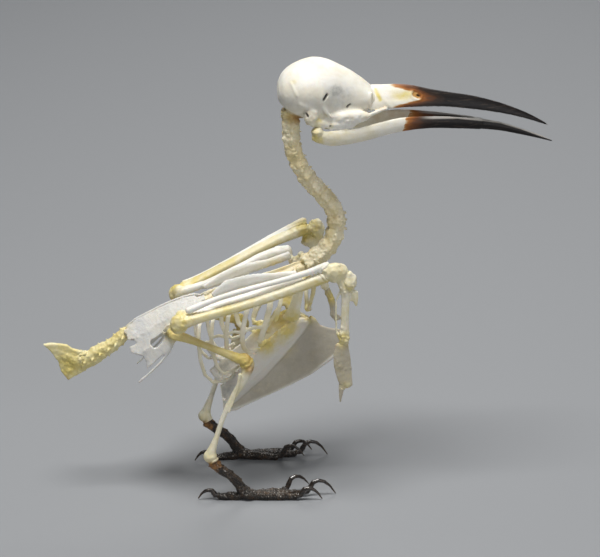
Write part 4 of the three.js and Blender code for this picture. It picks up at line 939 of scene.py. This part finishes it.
# Nodes, look, slot, voxel, rounds of smoothing, waves, ripple, lumps, greasy
GROUPS = [
    (["neck_upper", "neck_middle", "neck_lower"], "spine", "spine", 0.15, 2, 0.18, 0.06,
     (240, 0.42, 0.3), 0.4),
    (["back"], "spine", "spine", 0.16, 2, 0.1, 0.05, (90, 0.34, 0.22), 0.3),
    (["tail"], "tail", "spine", 0.15, 2, 0.14, 0.05, (110, 0.4, 0.16), 0.4),
    (["pygostyle"], "tail", "spine", 0.15, 4, 0.08, 0.03, (24, 0.5, 0.1), 0.6),
    (["pelvis"], "pelvis", "pale_bone", 0.165, 3, 0.06, 0.04, (50, 0.35, 0.1), 0.1),
    (["sternum"], "breast", "pale_bone", 0.18, 4, 0.05, 0.02, None, 0.12),
    (both("coracoid"), "limb", "pale_bone", 0.15, 4, 0.05, 0.02, None, 0.3),
    (both("scapula"), "pale", "pale_bone", 0.14, 5, 0.03, 0.02, None, 0.0),
    (both("ribs"), "rib", "pale_bone", 0.14, 3, 0.04, 0.02, None, 0.25),
    (["furcula"], "limb", "limb_bone", 0.14, 4, 0.05, 0.03, None, 0.7),
    (both("humerus"), "pale", "limb_bone", 0.16, 9, 0.05, 0.02, None, 0.3),
    (both("hand"), "limb", "limb_bone", 0.13, 4, 0.07, 0.04, (50, 0.5, 0.28), 0.45),
    (both("finger", "fingertip"), "breast", "limb_bone", 0.1, 4, 0.07, 0.03, (26, 0.4, 0.1), 0.3),
    (both("thumb"), "limb", "limb_bone", 0.1, 4, 0.05, 0.03, None, 0.6),
    (both("femur"), "fatty", "limb_bone", 0.15, 10, 0.06, 0.03, None, 0.5),
    (both("tibia"), "limb", "limb_bone", 0.15, 9, 0.05, 0.02, None, 0.35),
    (both("foot"), "skin", "foot_skin", 0.13, 2, 0.07, 0.05, (420, 0.26, 0.12), 0.0),
]
# Bone, its partner, look, voxel, rounds, waves, ripple, greasy, and how much fuller the right one is. On the
# right, no tissue bridges the two bones.
FOREARM = [
    ("ulna", "radius", "limb", 0.16, 6, 0.06, 0.02, 0.72, 0.1),
    ("radius", "ulna", "pale", 0.13, 5, 0.03, 0.02, 0.15, 0.2),
]
for nodes, look, slot_name, *work in GROUPS:
    for node in nodes:
        mesh = worked(node, *work)
        if look == "skin":
            # Pale flecks only low down and on skin that faces up: worn scales, and partly painted highlight
            # where the light falls.
            points = positions(mesh)
            low_down = smooth_step(3.6, 2.2, points[:, 2])
            paint(mesh, "flecks_and_highlights", low_down * smooth_step(-0.2, 0.5, normals_of(mesh)[:, 2]))
        if node == "sternum":
            dress_keel(mesh)
        show(node + "_skin", mesh, look, node)
for bone_name, partner, look, voxel, rounds, waves, ripple, greasy, fuller in FOREARM:
    for side in ("right", "left"):
        node = f"{bone_name}_{side}"
        apart = (f"{partner}_{side}",) if side == "right" else ()
        mesh = worked(node, voxel, rounds, waves, ripple, None, greasy, apart)
        push(mesh, np.full(len(mesh.vertices), fuller if side == "right" else 0.0))
        show(node + "_skin", mesh, look, node)

CLAW_VOXEL, CLAW_ROUNDS = 0.08, 6
TOES = ("inner", "middle", "outer", "hind")
for node in [f"claw_{side}_{toe}" for side in ("right", "left") for toe in TOES]:
    mesh = remeshed(node + "_skin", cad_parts[node].data.copy(), CLAW_VOXEL)
    relax(mesh, CLAW_ROUNDS)
    bridged(mesh, node)
    points = positions(mesh)
    low, high = points.min(0), points.max(0)
    share = (points[:, 0] - low[0]) / (high[0] - low[0])
    paint(mesh, "tip", 0.6 * smooth_step(0.75, 1.0, 1 - share if "hind" in node else share))
    show(node + "_skin", mesh, "claw", node)


# Stage: a plain pale floor and soft studio light, in metres and watts
FLOOR_HALF = 6
FLOOR_COLOUR, FLOOR_ROUGHNESS = colour(0.26, 0.27, 0.285), 0.7
AIR_COLOUR, AIR_STRENGTH = colour(0.75, 0.78, 0.82), 0.14
LIT_PLACE = (0.0, 0.0, 0.05)
# Name, place, size, power, tint
LIGHTS = [
    ("key", (-0.10, -0.12, 0.78), 0.30, 6.6, (1.0, 0.985, 0.96)),
    ("fill", (0.30, -0.75, 0.25), 0.5, 1.6, (0.96, 0.97, 1.0)),
    ("back", (0.15, 0.60, 0.45), 0.4, 1.3, (1.0, 0.99, 0.97)),
]


def area_light(name, place, size, power, tint):
    light = bpy.data.lights.new(name, "AREA")
    light.shape = "DISK"
    light.size = size
    light.energy = power
    light.color = tint
    lamp = bpy.data.objects.new(name, light)
    bpy.context.scene.collection.objects.link(lamp)
    lamp.location = place
    lamp.rotation_euler = (Vector(LIT_PLACE) - Vector(place)).to_track_quat("-Z", "Y").to_euler()


floor_mesh = bpy.data.meshes.new("floor")
corners = [(-FLOOR_HALF, -FLOOR_HALF, 0), (FLOOR_HALF, -FLOOR_HALF, 0),
           (FLOOR_HALF, FLOOR_HALF, 0), (-FLOOR_HALF, FLOOR_HALF, 0)]
floor_mesh.from_pydata(corners, [], [(0, 1, 2, 3)])
floor_paint = bpy.data.materials.new("floor_paint")
floor_paint.use_nodes = True
floor_paint.node_tree.nodes["Principled BSDF"].inputs["Base Color"].default_value = FLOOR_COLOUR
floor_paint.node_tree.nodes["Principled BSDF"].inputs["Roughness"].default_value = FLOOR_ROUGHNESS
floor_mesh.materials.append(floor_paint)
floor = bpy.data.objects.new("floor", floor_mesh)
bpy.context.scene.collection.objects.link(floor)

world = bpy.data.worlds.new("studio")
world.use_nodes = True
world.node_tree.nodes["Background"].inputs["Color"].default_value = AIR_COLOUR
world.node_tree.nodes["Background"].inputs["Strength"].default_value = AIR_STRENGTH
bpy.context.scene.world = world

for light in LIGHTS:
    area_light(*light)
bpy.context.scene.view_settings.view_transform = "Standard"

# Camera, from the photograph
AIM_HEIGHT = 49.8
AZIMUTH, ELEVATION, DISTANCE = math.radians(-6), math.radians(20.5), 0.56
LENS, SENSOR_WIDTH = 146.5, 36
CLIP_NEAR, CLIP_FAR = 0.05, 20
aim = Vector((SHIFT[0] * MM, SHIFT[1] * MM, AIM_HEIGHT * MM))
back = Vector((math.sin(AZIMUTH) * math.cos(ELEVATION), -math.cos(AZIMUTH) * math.cos(ELEVATION),
               math.sin(ELEVATION)))
camera = bpy.data.cameras.new("camera")
camera.lens = LENS
camera.sensor_width = SENSOR_WIDTH
camera.clip_start = CLIP_NEAR
camera.clip_end = CLIP_FAR
eye = bpy.data.objects.new("camera", camera)
bpy.context.scene.collection.objects.link(eye)
eye.location = aim + back * DISTANCE
eye.rotation_euler = (-back).to_track_quat("-Z", "Y").to_euler()
bpy.context.scene.camera = eye
